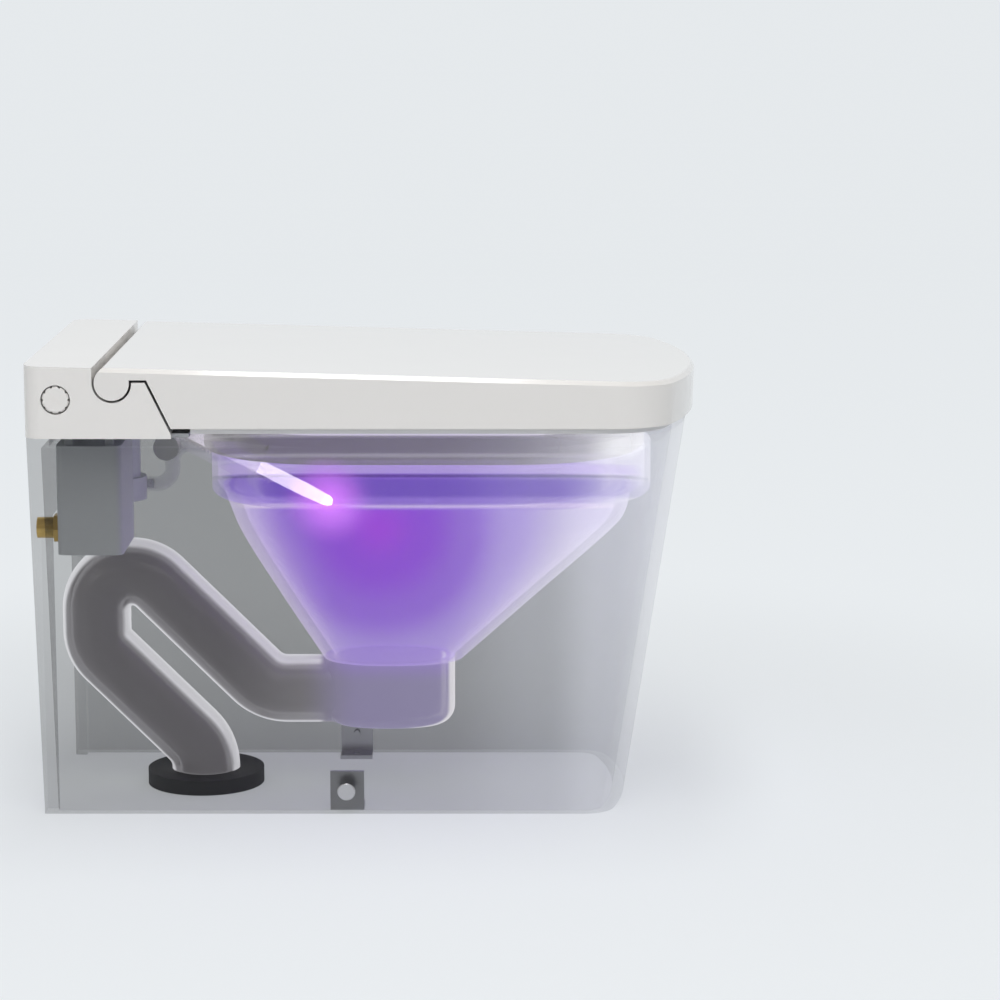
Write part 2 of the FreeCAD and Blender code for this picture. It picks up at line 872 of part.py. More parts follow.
def lid_shell():
    # Open below and, between its side walls, at the back; the hinge arms come in there
    outer = lid_prism(0).common(lid_side(0, 0)).common(under_top(0)).removeSplitter()
    outer = outer.makeChamfer(lid_edge_chamfer, top_rim(outer))
    behind = block(-half_width, half_width, hinge_y, hinge_y + lid_end_radius,
                   hinge_z - lid_end_radius, hinge_z - tail_rise)
    below = block(-half_width, half_width, hinge_y - lid_end_radius, hinge_y,
                  hinge_z - lid_end_radius, hinge_z + tail_rise)
    hollow = fuse_all([lid_side(lid_wall, cut_overrun), behind, below])
    shell = outer.cut(lid_prism(lid_wall).common(hollow).common(under_top(lid_wall)))
    slots = [block(x0 - post_slot_gap, x1 + post_slot_gap, hinge_y, hinge_y + lid_end_radius,
                   hinge_z - lid_end_radius, hinge_z + lid_slot_rise) for x0, x1 in (inner_post, outer_post)]
    return cut_all(shell, [both_sides(slot) for slot in slots])


def lid_inner_panel():
    # Flat liner inside the lid
    zone = block(-half_width, half_width, -half_length, liner_back, lid_bottom, lid_bottom + lid_loft_height)
    body = lid_prism(lid_wall + liner_gap).common(zone)
    sheet = body.common(under_top(liner_drop)).cut(under_top(liner_drop + liner_thickness))
    posts = []
    for x, y in liner_post_places():
        post = rod(liner_post_radius, vec(x, y, lid_bottom), vec(x, y, lid_bottom + lid_loft_height))
        posts.append(post.common(under_top(lid_wall + liner_gap / 2)).cut(under_top(liner_drop + liner_gap)))
    return fuse_all([sheet] + posts)


def liner_post_places():
    x = half_width * liner_post_share
    front = -half_length * liner_post_share - cut_overrun
    return [(-x, front), (x, front), (-x, liner_back - 2 * liner_post_radius),
            (x, liner_back - 2 * liner_post_radius), (0, -half_length / 2), (0, 0)]


def lid_hinge_arms():
    # Barrel under the lid's tail, joined to the lid's skin by a short plate
    x0, x1 = lid_barrel
    barrel = cross_rod(barrel_radius, x0, x1, hinge_y, hinge_z)
    top = hinge_z + lid_end_radius
    plate = side_prism([(arm_root, hinge_z + arm_drop), (hinge_y, hinge_z), (hinge_y, top), (arm_root, top)], x0, x1)
    arm = barrel.fuse(plate.common(under_top(lid_wall + liner_gap / 2)))
    arm = arm.cut(cross_rod(pin_radius + pin_clearance, x0, x1, hinge_y, hinge_z))
    return both_sides(arm.removeSplitter())


def hinge_pins():
    return both_sides(cross_rod(pin_radius, inner_post[0], outer_post[1], hinge_y, hinge_z))


def hinge_posts():
    # Uprights from the tray that carry the hinge pins on both sides of the barrels
    shapes = []
    for x0, x1 in (inner_post, outer_post):
        column = block(x0, x1, hinge_y - post_depth / 2, hinge_y + post_depth / 2, tray_top, hinge_z)
        eye = cross_rod(barrel_radius, x0, x1, hinge_y, hinge_z)
        narrow = block(x0, x1, hinge_y - barrel_radius, hinge_y + barrel_radius, step_height, hinge_z)
        column = column.cut(block(x0, x1, hinge_y - post_depth, hinge_y + post_depth, step_height, hinge_z))
        post = fuse_all([column, narrow, eye])
        post = post.cut(cross_rod(pin_radius, x0, x1, hinge_y, hinge_z))
        shapes += [post, post.mirror(centre, across)]
    return Part.makeCompound(shapes)


def soft_close_dampers():
    # Rotary dampers on the inner ends of the pins
    x1 = inner_post[0]
    x0 = x1 - damper_length
    return both_sides(cross_rod(damper_radius, x0, x1, hinge_y, hinge_z))


def seat_outline(inset, z):
    return flat_outline(seat_half_width - inset, seat_front + inset, seat_back - inset,
                        seat_corner_radius - inset, seat_front_arc - inset, z)


def seat_arm(clearance):
    # Hooked arm from inside the seat, over the step of the cover, to the hinge line
    x0, x1 = seat_barrel
    low = seat_bottom + seat_base_thickness
    high = seat_top - seat_wall
    step_clear = step_height + arm_clear
    points = [
        (seat_back - arm_tail, low), (seat_back + arm_heel, low), (arm_knee_y, step_clear),
        (hinge_y, hinge_z - barrel_radius), (hinge_y, hinge_z + barrel_radius),
        (arm_shoulder_y, hinge_z + arm_shoulder_rise), (seat_back + arm_heel / 2, high),
        (seat_back - arm_tail, high),
    ]
    arm = side_prism(points, x0 - clearance, x1 + clearance)
    barrel = cross_rod(barrel_radius, x0 - clearance, x1 + clearance, hinge_y, hinge_z)
    return arm.fuse(barrel).removeSplitter()


def seat_hinge_arms():
    arm = seat_arm(0).cut(cross_rod(pin_radius + pin_clearance, seat_barrel[0], seat_barrel[1], hinge_y, hinge_z))
    return both_sides(arm)


def seat_hole(inset, z0, z1):
    return oval_prism(seat_hole_half_width, seat_hole_front, seat_hole_back, inset, z0, z1)


def seat_lower_shell():
    z1 = seat_bottom + seat_base_thickness
    base = prism(seat_outline(0, seat_bottom), seat_base_thickness)
    base = base.cut(seat_hole(0, seat_bottom, z1))
    return base


def seat_upper_shell():
    z0 = seat_bottom + seat_base_thickness
    outer = prism(seat_outline(0, z0), seat_top - z0)
    outer = outer.cut(seat_hole(0, z0, seat_top))
    outer = outer.makeChamfer(seat_chamfer, [e for e in outer.Edges if e.BoundBox.ZMin > seat_top - seal_gap])
    inner = prism(seat_outline(seat_wall, z0), seat_top - seat_wall - z0)
    inner = inner.cut(seat_hole(-seat_wall, z0, seat_top))
    shell = outer.cut(inner)
    slot = seat_arm(seal_gap)
    return cut_all(shell, [slot, slot.mirror(centre, across)])


def seat_heater():
    # Heating foil stuck under the top of the seat
    z1 = seat_top - seat_wall - seal_gap
    z0 = z1 - heater_foil
    inset = seat_wall + seat_chamfer
    foil = prism(flat_outline(seat_half_width - inset, seat_front + inset, seat_back - arm_tail - inset,
                              seat_corner_radius - inset, seat_front_arc - inset, z0), heater_foil)
    return foil.cut(seat_hole(-inset, z0, z1))


def seat_buffers():
    # Rubber feet under the seat: two near the front, two near the back
    shapes = []
    for y in (seat_front * buffer_front_share, seat_back * buffer_back_share):
        x = buffer_x
        foot = block(x - buffer_width / 2, x + buffer_width / 2, y - buffer_length / 2, y + buffer_length / 2,
                     rim_height + seal_gap, seat_bottom)
        shapes += [foot, foot.mirror(centre, across)]
    return Part.makeCompound(shapes)


def lid_buffers():
    # Small buffers under the liner that meet the seat
    shapes = []
    for y in (seat_front * buffer_front_share, seat_back * lid_buffer_back_share):
        foot = rod(lid_buffer_radius, vec(buffer_x, y, seat_top + seal_gap), vec(buffer_x, y, half_length + rim_height))
        foot = foot.common(under_top(liner_drop + liner_thickness + seal_gap))
        shapes += [foot, foot.mirror(centre, across)]
    return Part.makeCompound(shapes)


def tray_floor(x0, x1, y0, y1):
    return block(x0, x1, y0, y1, rim_height, tray_top)


def nozzle_place(shape):
    # From the nozzle line's own frame, where Y runs back along it, to the toilet's
    shape = shape.copy()
    shape.rotate(centre, across, nozzle_angle)
    shape.translate(vec(0, tip_y, tip_z))
    return shape


def line_block(x0, x1, s0, s1, n0, n1):
    return nozzle_place(block(x0, x1, s0, s1, n0, n1))


def rear_tray():
    # Base plate on the ceramic deck, with slots for what passes down through it
    plate = tray_floor(-tray_half_width, tray_half_width, tray_front, cover_back - cover_wall - seal_gap)
    corner = [e for e in plate.Edges if e.BoundBox.ZLength > tray_thickness - seal_gap
              and e.BoundBox.YMin > hinge_y]
    plate = plate.makeFillet(cover_corner_radius - cover_wall, corner)
    guide = line_block(-guide_half_width - guide_wall / 2, guide_half_width + guide_wall / 2, guide_start,
                       guide_end + cut_overrun, -guide_bottom - guide_wall / 2, guide_top + guide_wall / 2)
    duct = line_block(duct_left - duct_wall, duct_right + duct_wall, duct_start, duct_end,
                      -duct_half_height - duct_wall, duct_half_height + duct_wall)
    holes = [guide, duct]
    for x, y in cover_screw_places():
        holes.append(cover_screw(x, y, tray_thickness))
    return cut_all(plate, holes)


def cover_screw_places():
    x = half_width - cover_side_wall - screw_inset
    y0 = seam_foot + screw_inset + cover_wall
    rear_x = x - screw_inset
    rear_y = cover_back - cover_wall - screw_boss_radius * boss_share
    return [(-x, y0), (x, y0), (-rear_x, rear_y), (rear_x, rear_y)]


def seam_cutter(gap):
    # What lies in front of the seam: the lid's side view, grown by the gap
    reach = half_width + cut_overrun
    front = -half_length
    low = tray_top - cut_overrun
    tail_z = hinge_z + tail_rise - gap
    slant = gap / math.cos(math.radians(seam_lean))
    high = lid_bottom + lid_loft_height + cut_overrun
    points = [(front, low), (seam_y(low) + slant, low), (seam_y(tail_z) + slant, tail_z),
              (hinge_y, tail_z), (hinge_y + lid_end_radius + lid_end_gap, tail_z),
              (hinge_y + lid_end_radius + lid_end_gap, high), (front, high)]
    around = cross_rod(lid_end_radius + lid_end_gap, -reach, reach, hinge_y, hinge_z)
    return side_prism(points, -reach, reach).fuse(around)


def cover_plan(inset, z0, z1):
    back = cover_back - inset
    x = half_width - inset
    body = block(-x, x, seam_foot, back, z0, z1)
    corner = [e for e in body.Edges if e.BoundBox.ZLength > (z1 - z0) / 2 and e.BoundBox.YMin > hinge_y]
    return body.makeFillet(cover_corner_radius - inset, corner)


def knob_dish(radius):
    return cross_rod(radius, -half_width, -half_width + dish_depth, knob_y, knob_z)


def rear_cover():
    # Moulded housing: low step under the hinges, tall back and thin side cheeks beside the lid's tail
    high = lid_bottom + lid_loft_height
    outer = cover_plan(0, tray_top - tray_thickness + seal_gap, high).common(under_top(0))
    outer = outer.cut(seam_cutter(seam_gap))
    cheek = half_width - cover_side_wall
    wall_y = hinge_y + lid_end_radius + lid_end_gap
    step = block(-cheek, cheek, seam_foot - cut_overrun, wall_y, step_height, high)
    outer = outer.cut(step)
    inner_low = cover_plan(cover_wall, tray_top - cut_overrun, step_height - cover_wall)
    inner_low = inner_low.cut(seam_cutter(seam_gap + cover_wall))
    inner_high = cover_plan(cover_wall, step_height - cut_overrun, high).common(under_top(cover_wall))
    inner_high = inner_high.cut(block(-half_width, half_width, 0, wall_y + cover_wall, 0, high))
    tray_room = block(-tray_half_width - seal_gap, tray_half_width + seal_gap, tray_front, cover_back - cover_wall,
                      0, tray_top + seal_gap)
    shell = cut_all(outer, [inner_low, inner_high, tray_room])
    dish = knob_dish(knob_radius + knob_gap + dish_wall)
    shell = shell.fuse(dish.cut(cross_rod(knob_radius, -half_width, -half_width + cover_wall / 2, knob_y, knob_z)))
    holes = [cross_rod(knob_radius + knob_gap, -half_width, -half_width + dish_depth - dish_wall, knob_y, knob_z),
             cross_rod(plunger_radius + pin_clearance, -half_width, -half_width + dish_depth, knob_y, knob_z)]
    for x0, x1 in (inner_post, outer_post):
        slot = block(x0 - post_slot_gap, x1 + post_slot_gap, hinge_y - post_depth / 2 - post_slot_gap,
                     hinge_y + post_depth / 2 + post_slot_gap, step_height - 2 * cover_wall, step_height)
        holes += [slot, slot.mirror(centre, across)]
    holes.append(rod(gland_radius + seal_gap / 2, vec(gland_x, cover_back - 2 * cover_wall, gland_z),
                     vec(gland_x, cover_back, gland_z)))
    shell = cut_all(shell, holes)
    bosses = []
    for x, y in cover_screw_places():
        top = step_height - cover_wall
        boss = rod(screw_boss_radius, vec(x, y, tray_top + seal_gap), vec(x, y, top))
        boss = boss.cut(rod(cover_screw_radius, vec(x, y, tray_top), vec(x, y, tray_top + cover_screw_length)))
        bosses.append(boss)
    return fuse_all([shell] + bosses)


def cover_screw(x, y, length):
    # Countersunk screw that stands on its head
    foot = vec(x, y, rim_height)
    stem = rod(cover_screw_radius, foot, vec(x, y, rim_height + length))
    head = Part.makeCone(cover_screw_head_radius, cover_screw_radius, cover_screw_head, foot)
    return stem.fuse(head).removeSplitter()


def cover_screws():
    # Screws from below, through the tray and into the cover's bosses
    length = tray_thickness + cover_screw_length - seal_gap
    return Part.makeCompound([cover_screw(x, y, length) for x, y in cover_screw_places()])


def side_knob():
    # Round knob with shallow grip flutes, sunk in its dish
    x0 = -half_width
    x1 = x0 + knob_depth - knob_travel
    knob = cross_rod(knob_radius, x0, x1, knob_y, knob_z)
    rim = [e for e in knob.Edges if e.BoundBox.XMax < x0 + seal_gap]
    knob = knob.makeChamfer(flute_radius, rim)
    for index in range(knob_flutes):
        angle = full_turn * index / knob_flutes
        y = knob_y + knob_radius * math.cos(angle)
        z = knob_z + knob_radius * math.sin(angle)
        knob = knob.cut(cross_rod(flute_radius, x0, x1, y, z))
    return knob.cut(cross_rod(plunger_radius + pin_clearance, x1 - plunger_radius, x1, knob_y, knob_z))


def knob_plunger():
    # Spindle that carries the knob and slides in when it is pressed
    x0 = -half_width + knob_depth - knob_travel - plunger_radius
    stem = cross_rod(plunger_radius, x0, x0 + plunger_length + plunger_radius, knob_y, knob_z)
    x2 = -half_width + dish_depth + seal_gap
    flange = cross_rod(plunger_flange_radius, x2, x2 + plunger_flange, knob_y, knob_z)
    return stem.fuse(flange).removeSplitter()


def nozzle_guide():
    # Square channel that carries the wand, with a slot for the pinion and ears on the tray
    outer = block(-guide_half_width, guide_half_width, guide_start, guide_end, -guide_bottom, guide_top)
    inner = block(-guide_half_width + guide_wall, guide_half_width - guide_wall, guide_start + guide_wall,
                  guide_end - guide_wall, -guide_bottom + guide_wall, guide_top - guide_wall)
    mouth = rod(wand_radius + guide_clearance, vec(0, guide_start, 0), vec(0, guide_start + guide_wall, 0))
    rack_way = block(-pinion_width / 2 - guide_clearance, pinion_width / 2 + guide_clearance, guide_start,
                     guide_start + guide_wall, -wand_radius - rack_root - guide_clearance, 0)
    slot = block(-pinion_width / 2 - 2 * guide_clearance, pinion_width / 2 + 2 * guide_clearance,
                 pinion_station - pinion_slot, pinion_station + pinion_slot, -guide_bottom, -guide_bottom + guide_wall)
    collar = tube(guide_half_width - guide_wall, wand_radius + guide_clearance,
                  vec(0, collar_station, 0), vec(0, collar_station + collar_length, 0))
    collar = collar.common(block(-guide_half_width, guide_half_width, guide_start, guide_end,
                                 -wand_radius / 2, guide_top - guide_wall))
    body = cut_all(outer, [inner, mouth, rack_way, slot]).fuse(collar)
    ears = []
    for side in (-1, 1):
        x0 = side * (guide_half_width - guide_wall / 2)
        x1 = side * (guide_half_width + ear_width)
        ears.append(block(min(x0, x1), max(x0, x1), ear_front, ear_back, tray_top, tray_top + guide_wall))
    body = fuse_all([nozzle_place(body)] + ears)
    return body.cut(line_block(-guide_half_width + guide_wall, guide_half_width - guide_wall,
                               guide_start + guide_wall, guide_end - guide_wall, -wand_radius / 2,
                               wand_radius / 2))


def tooth_profile():
    # Involute tooth of the pinion, as an angle either side of the tooth's middle at each radius
    pitch = gear_module * pinion_teeth / 2
    base = pitch * math.cos(math.radians(pressure_angle))
    tip = pitch + gear_module
    half = (math.pi * gear_module / 2 - backlash) / (2 * pitch)
    involute = math.tan(math.radians(pressure_angle)) - math.radians(pressure_angle)
    rows = []
    for step in range(tooth_steps + 1):
        radius = base + (tip - base) * step / tooth_steps
        angle = math.acos(base / radius)
        rows.append((radius, half + involute - (math.tan(angle) - angle)))
    return rows


def drive_pinion():
    pitch = gear_module * pinion_teeth / 2
    root = pitch - root_share * gear_module
    rows = tooth_profile()
    points = []
    for tooth in range(pinion_teeth):
        middle = math.pi / 2 + full_turn * tooth / pinion_teeth
        flank = [(root, rows[0][1])] + rows
        for radius, half in flank:
            points.append((radius * math.cos(middle - half), radius * math.sin(middle - half)))
        for radius, half in reversed(flank):
            points.append((radius * math.cos(middle + half), radius * math.sin(middle + half)))
    gear = side_prism(points, -pinion_width / 2, pinion_width / 2)
    shaft = cross_rod(pinion_bore, -motor_offset, pinion_width / 2, 0, 0)
    gear = gear.fuse(shaft)
    gear.translate(vec(0, pinion_station, -rack_pitch_depth() - pitch))
    return nozzle_place(gear)


def rack_pitch_depth():
    # Depth of the rack's pitch line below the wand's middle
    return wand_radius + rack_root - gear_module


def wand_rack():
    # Toothed bar along the underside; a gap between teeth stands over the pinion's tooth
    pitch_n = -rack_pitch_depth()
    step = math.pi * gear_module
    lean = math.tan(math.radians(pressure_angle))
    half = (step / 2 - backlash) / 2
    tip = half - gear_module * lean
    foot = half + gear_module * root_share * lean
    high = pitch_n + gear_module * root_share
    low = pitch_n - gear_module
    first = pinion_station + step / 2 - step * rack_teeth_ahead
    points = [(first - step, -wand_radius + rack_land), (first - step, high)]
    for tooth in range(rack_teeth):
        middle = first + step * tooth
        points += [(middle - foot, high), (middle - tip, low), (middle + tip, low), (middle + foot, high)]
    last = first + step * rack_teeth
    points += [(last, high), (last, -wand_radius + rack_land)]
    bar = side_prism(points, -rack_half_width, rack_half_width)
    bar = bar.cut(rod(wand_radius, vec(0, first - 2 * step, 0), vec(0, last + step, 0)))
    return nozzle_place(bar)


def wand_tube():
    start = vec(0, lamp_length + tip_length, 0)
    end = vec(0, wand_length, 0)
    return nozzle_place(tube(wand_radius, wand_bore, start, end))


def nozzle_tip():
    # Tapered white head with spray holes on top
    start = vec(0, lamp_length, 0)
    head = Part.makeCone(lamp_radius + lamp_seat, wand_radius, tip_length, start, back_way)
    head = head.cut(rod(wand_bore, vec(0, lamp_length + tip_length / 2, 0), vec(0, lamp_length + tip_length, 0)))
    for index in range(spray_holes):
        s = lamp_length + tip_length / 2 + index * 2 * spray_radius * 2
        head = head.cut(rod(spray_radius, vec(0, s, 0), vec(0, s, wand_radius)))
    return nozzle_place(head)


def uv_lamp():
    # Domed lens at the very end of the wand
    dome = Part.makeSphere(lamp_radius, vec(0, lamp_radius, 0))
    dome = dome.cut(block(-lamp_radius, lamp_radius, lamp_radius, 2 * lamp_radius, -lamp_radius, lamp_radius))
    stem = rod(lamp_radius, vec(0, lamp_radius, 0), vec(0, lamp_length, 0))
    return nozzle_place(dome.fuse(stem).removeSplitter())


def nozzle_motor():
    pitch = gear_module * pinion_teeth / 2
    n = -rack_pitch_depth() - pitch
    x1 = -motor_offset + pinion_bore
    body = rod(motor_radius, vec(x1 - motor_length, pinion_station, n), vec(x1, pinion_station, n))
    plate = block(x1, -guide_half_width, pinion_station - motor_radius, pinion_station + motor_radius,
                  n - pinion_bore - guide_wall, n + pinion_bore + guide_wall)
    motor = body.fuse(plate).cut(rod(pinion_bore + pin_clearance, vec(-motor_offset - seal_gap, pinion_station, n),
                                     vec(0, pinion_station, n)))
    return nozzle_place(motor.removeSplitter())


def dryer_duct():
    # Sloping air channel that opens beside the nozzle
    outer = block(duct_left, duct_right, duct_start, duct_end, -duct_half_height, duct_half_height)
    inner = block(duct_left + duct_wall, duct_right - duct_wall, duct_start, duct_end,
                  -duct_half_height + duct_wall, duct_half_height - duct_wall)
    return nozzle_place(outer.cut(inner))


def dryer_blower():
    body = cross_rod(blower_radius, blower_left, blower_right, blower_y, blower_z)
    reach = line_block(duct_left, duct_right, duct_end, duct_end + blower_radius,
                       -duct_half_height, duct_half_height)
    reach = reach.common(block(blower_left, blower_right, 0, half_length, 0, rim_height + lid_loft_height))
    outer = body.fuse(reach)
    room = cross_rod(blower_radius - blower_wall, blower_left + blower_wall, blower_right - blower_wall,
                     blower_y, blower_z)
    throat = line_block(blower_left + blower_wall, blower_right - blower_wall, duct_end, duct_end + blower_radius,
                        -duct_half_height + duct_wall, duct_half_height - duct_wall)
    intake = cross_rod(impeller_hub_radius, blower_right - blower_wall, blower_right, blower_y, blower_z)
    foot = block(blower_left, blower_right, blower_y - blower_radius / 2, blower_y + blower_radius / 2,
                 tray_top, blower_z - blower_radius + blower_wall)
    spindle_end = blower_left + blower_wall + fan_gap + impeller_depth() * hub_share - seal_gap
    spindle = cross_rod(shaft_radius, blower_left, spindle_end, blower_y, blower_z)
    shell = cut_all(outer.fuse(foot), [room, throat, intake])
    return shell.fuse(spindle).removeSplitter()


def fan(radius, hub, blades, shaft, depth):
    # Hub with thin radial blades along X, with a blind bore for its shaft
    wheel = cross_rod(hub, 0, depth, 0, 0)
    for index in range(blades):
        blade = block(0, depth, hub / 2, radius, -blade_thickness / 2, blade_thickness / 2)
        blade.rotate(centre, across, math.degrees(full_turn * index / blades))
        wheel = wheel.fuse(blade)
    return wheel.removeSplitter().cut(cross_rod(shaft + pin_clearance, 0, depth * hub_share, 0, 0))


def upright_fan(radius, hub, blades, shaft, depth, x, y, z):
    wheel = fan(radius, hub, blades, shaft, depth)
    wheel.rotate(centre, back_way, -quarter_turn)
    wheel.translate(vec(x, y, z))
    return wheel


def impeller_depth():
    return blower_right - blower_left - 2 * blower_wall - 2 * fan_gap


def dryer_impeller():
    wheel = fan(impeller_radius, impeller_hub_radius, impeller_blades, shaft_radius, impeller_depth())
    wheel.translate(vec(blower_left + blower_wall + fan_gap, blower_y, blower_z))
    return wheel


def dryer_flap():
    # Light flap that closes the duct's mouth and hangs from a pin at its top
    s1 = duct_start - flap_gap
    plate = block(duct_left + duct_wall, duct_right - duct_wall, s1 - flap_thickness, s1,
                  -duct_half_height + flap_gap, duct_half_height - flap_pin_radius)
    pin = rod(flap_pin_radius, vec(duct_left, s1 - flap_thickness / 2, duct_half_height - flap_pin_radius),
              vec(duct_right, s1 - flap_thickness / 2, duct_half_height - flap_pin_radius))
    return nozzle_place(plate.fuse(pin).removeSplitter())


def flush_tank():
    body = block(tank_left, tank_right, tank_front, tank_back, tank_bottom, tank_top)
    uprights = [e for e in body.Edges if e.BoundBox.ZLength > tank_edge_radius]
    body = body.makeFillet(tank_edge_radius, uprights)
    room = block(tank_left + tank_wall, tank_right - tank_wall, tank_front + tank_wall, tank_back - tank_wall,
                 tank_bottom + tank_wall, tank_top - tank_wall)
    rim = [e for e in room.Edges if e.BoundBox.ZLength > tank_edge_radius]
    room = room.makeFillet(tank_edge_radius - tank_wall, rim)
    inlet = rod(inlet_bore, vec(inlet_x, tank_back - tank_wall, inlet_z), vec(inlet_x, tank_back, inlet_z))
    outlet = cross_rod(hose_bore, tank_right - tank_wall, tank_right, pump_y, pump_bottom + volute_height / 2)
    lugs = []
    for y in (tank_front + tank_edge_radius, tank_back - 2 * tank_edge_radius):
        lugs.append(block(tank_left + tank_edge_radius, tank_left + 2 * tank_edge_radius, y, y + tank_edge_radius,
                          tank_top - tank_wall, rim_height))
        lugs.append(block(tank_right - 2 * tank_edge_radius, tank_right - tank_edge_radius, y, y + tank_edge_radius,
                          tank_top - tank_wall, rim_height))
    return fuse_all([cut_all(body, [room, inlet, outlet])] + lugs)


def pump_front():
    # Where the near edge of the rim hose meets the round side of the volute
    return pump_y - math.sqrt(volute_radius ** 2 - (rim_hose_x - hose_radius - pump_x) ** 2)


def pump_housing():
    # Snail-shaped pump body with its motor can on top, hung from the tray
    foot = vec(pump_x, pump_y, pump_bottom)
    mid = vec(pump_x, pump_y, pump_bottom + volute_height)
    outer = rod(volute_radius, foot, mid)
    room = rod(volute_radius - volute_wall, vec(pump_x, pump_y, pump_bottom + volute_wall),
               vec(pump_x, pump_y, pump_bottom + volute_height - volute_wall))
    motor_top = pump_bottom + volute_height + pump_motor_height
    motor = rod(pump_motor_radius, mid, vec(pump_x, pump_y, motor_top))
    hanger = block(pump_x - pump_motor_radius / 2, pump_x + pump_motor_radius / 2, pump_y - pump_motor_radius / 2,
                   pump_y + pump_motor_radius / 2, motor_top - volute_wall, rim_height)
    inlet_z0 = pump_bottom + volute_height / 2
    spigot_bore = hose_bore - spigot_wall
    inlet = cross_rod(spigot_bore, pump_x - volute_radius, pump_x - volute_radius + 2 * volute_wall,
                      pump_y, inlet_z0)
    outlet = rod(spigot_bore, vec(rim_hose_x, pump_y - volute_radius, inlet_z0), vec(rim_hose_x, pump_y, inlet_z0))
    spindle_top = pump_bottom + volute_wall + fan_gap + pump_rotor_height * hub_share - seal_gap
    spindle = rod(shaft_radius, vec(pump_x, pump_y, pump_bottom), vec(pump_x, pump_y, spindle_top))
    spigots = [
        tube(hose_bore - seal_gap, spigot_bore, vec(pump_x - volute_radius - spigot_length, pump_y, inlet_z0),
             vec(pump_x - volute_radius + volute_wall, pump_y, inlet_z0)),
        tube(hose_bore - seal_gap, spigot_bore, vec(rim_hose_x, pump_front() - spigot_length, inlet_z0),
             vec(rim_hose_x, pump_front() + 2 * volute_wall, inlet_z0)),
    ]
    body = fuse_all([outer] + spigots)
    return fuse_all([cut_all(body, [room, inlet, outlet]), motor, hanger, spindle])


def pump_impeller():
    return upright_fan(pump_rotor_radius, impeller_hub_radius, impeller_blades - 2, shaft_radius,
                       pump_rotor_height, pump_x, pump_y, pump_bottom + volute_wall + fan_gap)


def rim_hose():
    # From the pump's outlet up to the inlet of the flush ring
    z0 = pump_bottom + volute_height / 2
    start = vec(rim_hose_x, pump_front() - seal_gap, z0)
    turn_y = start.y - hose_drop_run
    corners = [start, vec(rim_hose_x, turn_y, z0), vec(rim_hose_x, turn_y, hose_height),
               vec(rim_hose_x, rim_hose_end, hose_height)]
    route = rounded_route(corners, hose_bend)
    return mitred_pipe(hose_radius, route).cut(mitred_pipe(hose_bore, route))


def tank_hose():
    z0 = pump_bottom + volute_height / 2
    start = vec(tank_right, pump_y, z0)
    end = vec(pump_x - volute_radius - seal_gap, pump_y, z0)
    return tube(hose_radius, hose_bore, start, end)


def inlet_fitting():
    # Threaded nipple for the water supply, with a hexagon and a flange on the tank's back
    face = tank_back
    flange = rod(inlet_flange_radius, vec(inlet_x, face, inlet_z), vec(inlet_x, face + inlet_flange, inlet_z))
    corners = []
    for index in range(6):
        angle = full_turn * index / 6
        corners.append(vec(inlet_x + inlet_hex / 2 * math.cos(angle), face + inlet_flange,
                           inlet_z + inlet_hex / 2 * math.sin(angle)))
    hexagon = Part.Face(Part.makePolygon(corners + corners[:1])).extrude(vec(0, inlet_hex_depth, 0))
    thread = rod(inlet_thread_radius, vec(inlet_x, face + inlet_flange + inlet_hex_depth, inlet_z),
                 vec(inlet_x, inlet_thread_end, inlet_z))
    body = fuse_all([flange, hexagon, thread])
    return body.cut(rod(inlet_bore, vec(inlet_x, face, inlet_z), vec(inlet_x, inlet_thread_end, inlet_z)))


def inlet_strainer():
    # Fine cup strainer pushed into the nipple
    end = inlet_thread_end - inlet_flange
    outer = rod(strainer_radius, vec(inlet_x, end - strainer_length, inlet_z), vec(inlet_x, end, inlet_z))
    lip = rod(inlet_bore - pin_clearance, vec(inlet_x, end, inlet_z), vec(inlet_x, end + strainer_wall, inlet_z))
    room = rod(strainer_radius - strainer_wall, vec(inlet_x, end - strainer_length + strainer_wall, inlet_z),
               vec(inlet_x, end + strainer_wall, inlet_z))
    return outer.fuse(lip).cut(room).removeSplitter()


def water_heater():
    # Flat instant heater with a water port at each end
    body = block(heater_left, heater_right, heater_front, heater_back, tray_top, tray_top + heater_height)
    body = body.makeFillet(heater_edge, [e for e in body.Edges if e.BoundBox.XLength > heater_edge])
    z = tray_top + heater_height / 2
    y = (heater_front + heater_back) / 2
    stub_end = valve_x + valve_radius + valve_stub_length
    ports = [cross_rod(valve_stub_radius, stub_end + seal_gap, heater_left, y, z)]
    ribs = []
    for index in range(heater_ribs):
        x = heater_left + (heater_right - heater_left) * (index + 1) / (heater_ribs + 1)
        ribs.append(block(x, x + cover_wall / 2, heater_front + heater_edge, heater_back - heater_edge,
                          tray_top + heater_height, tray_top + heater_height + cover_wall / 2))
    return fuse_all([body] + ports + ribs)


def inlet_valve():
    # Solenoid valve: coil can, body and two stubs
    body = rod(valve_radius, vec(valve_x, valve_y, tray_top), vec(valve_x, valve_y, tray_top + heater_height))
    z = tray_top + heater_height / 2
    stub = cross_rod(valve_stub_radius, valve_x, valve_x + valve_radius + valve_stub_length, valve_y, z)
    base = block(valve_x - valve_radius, valve_x + valve_radius, valve_y - valve_radius, valve_y + valve_radius,
                 tray_top, tray_top + cover_wall)
    return fuse_all([body, stub, base])


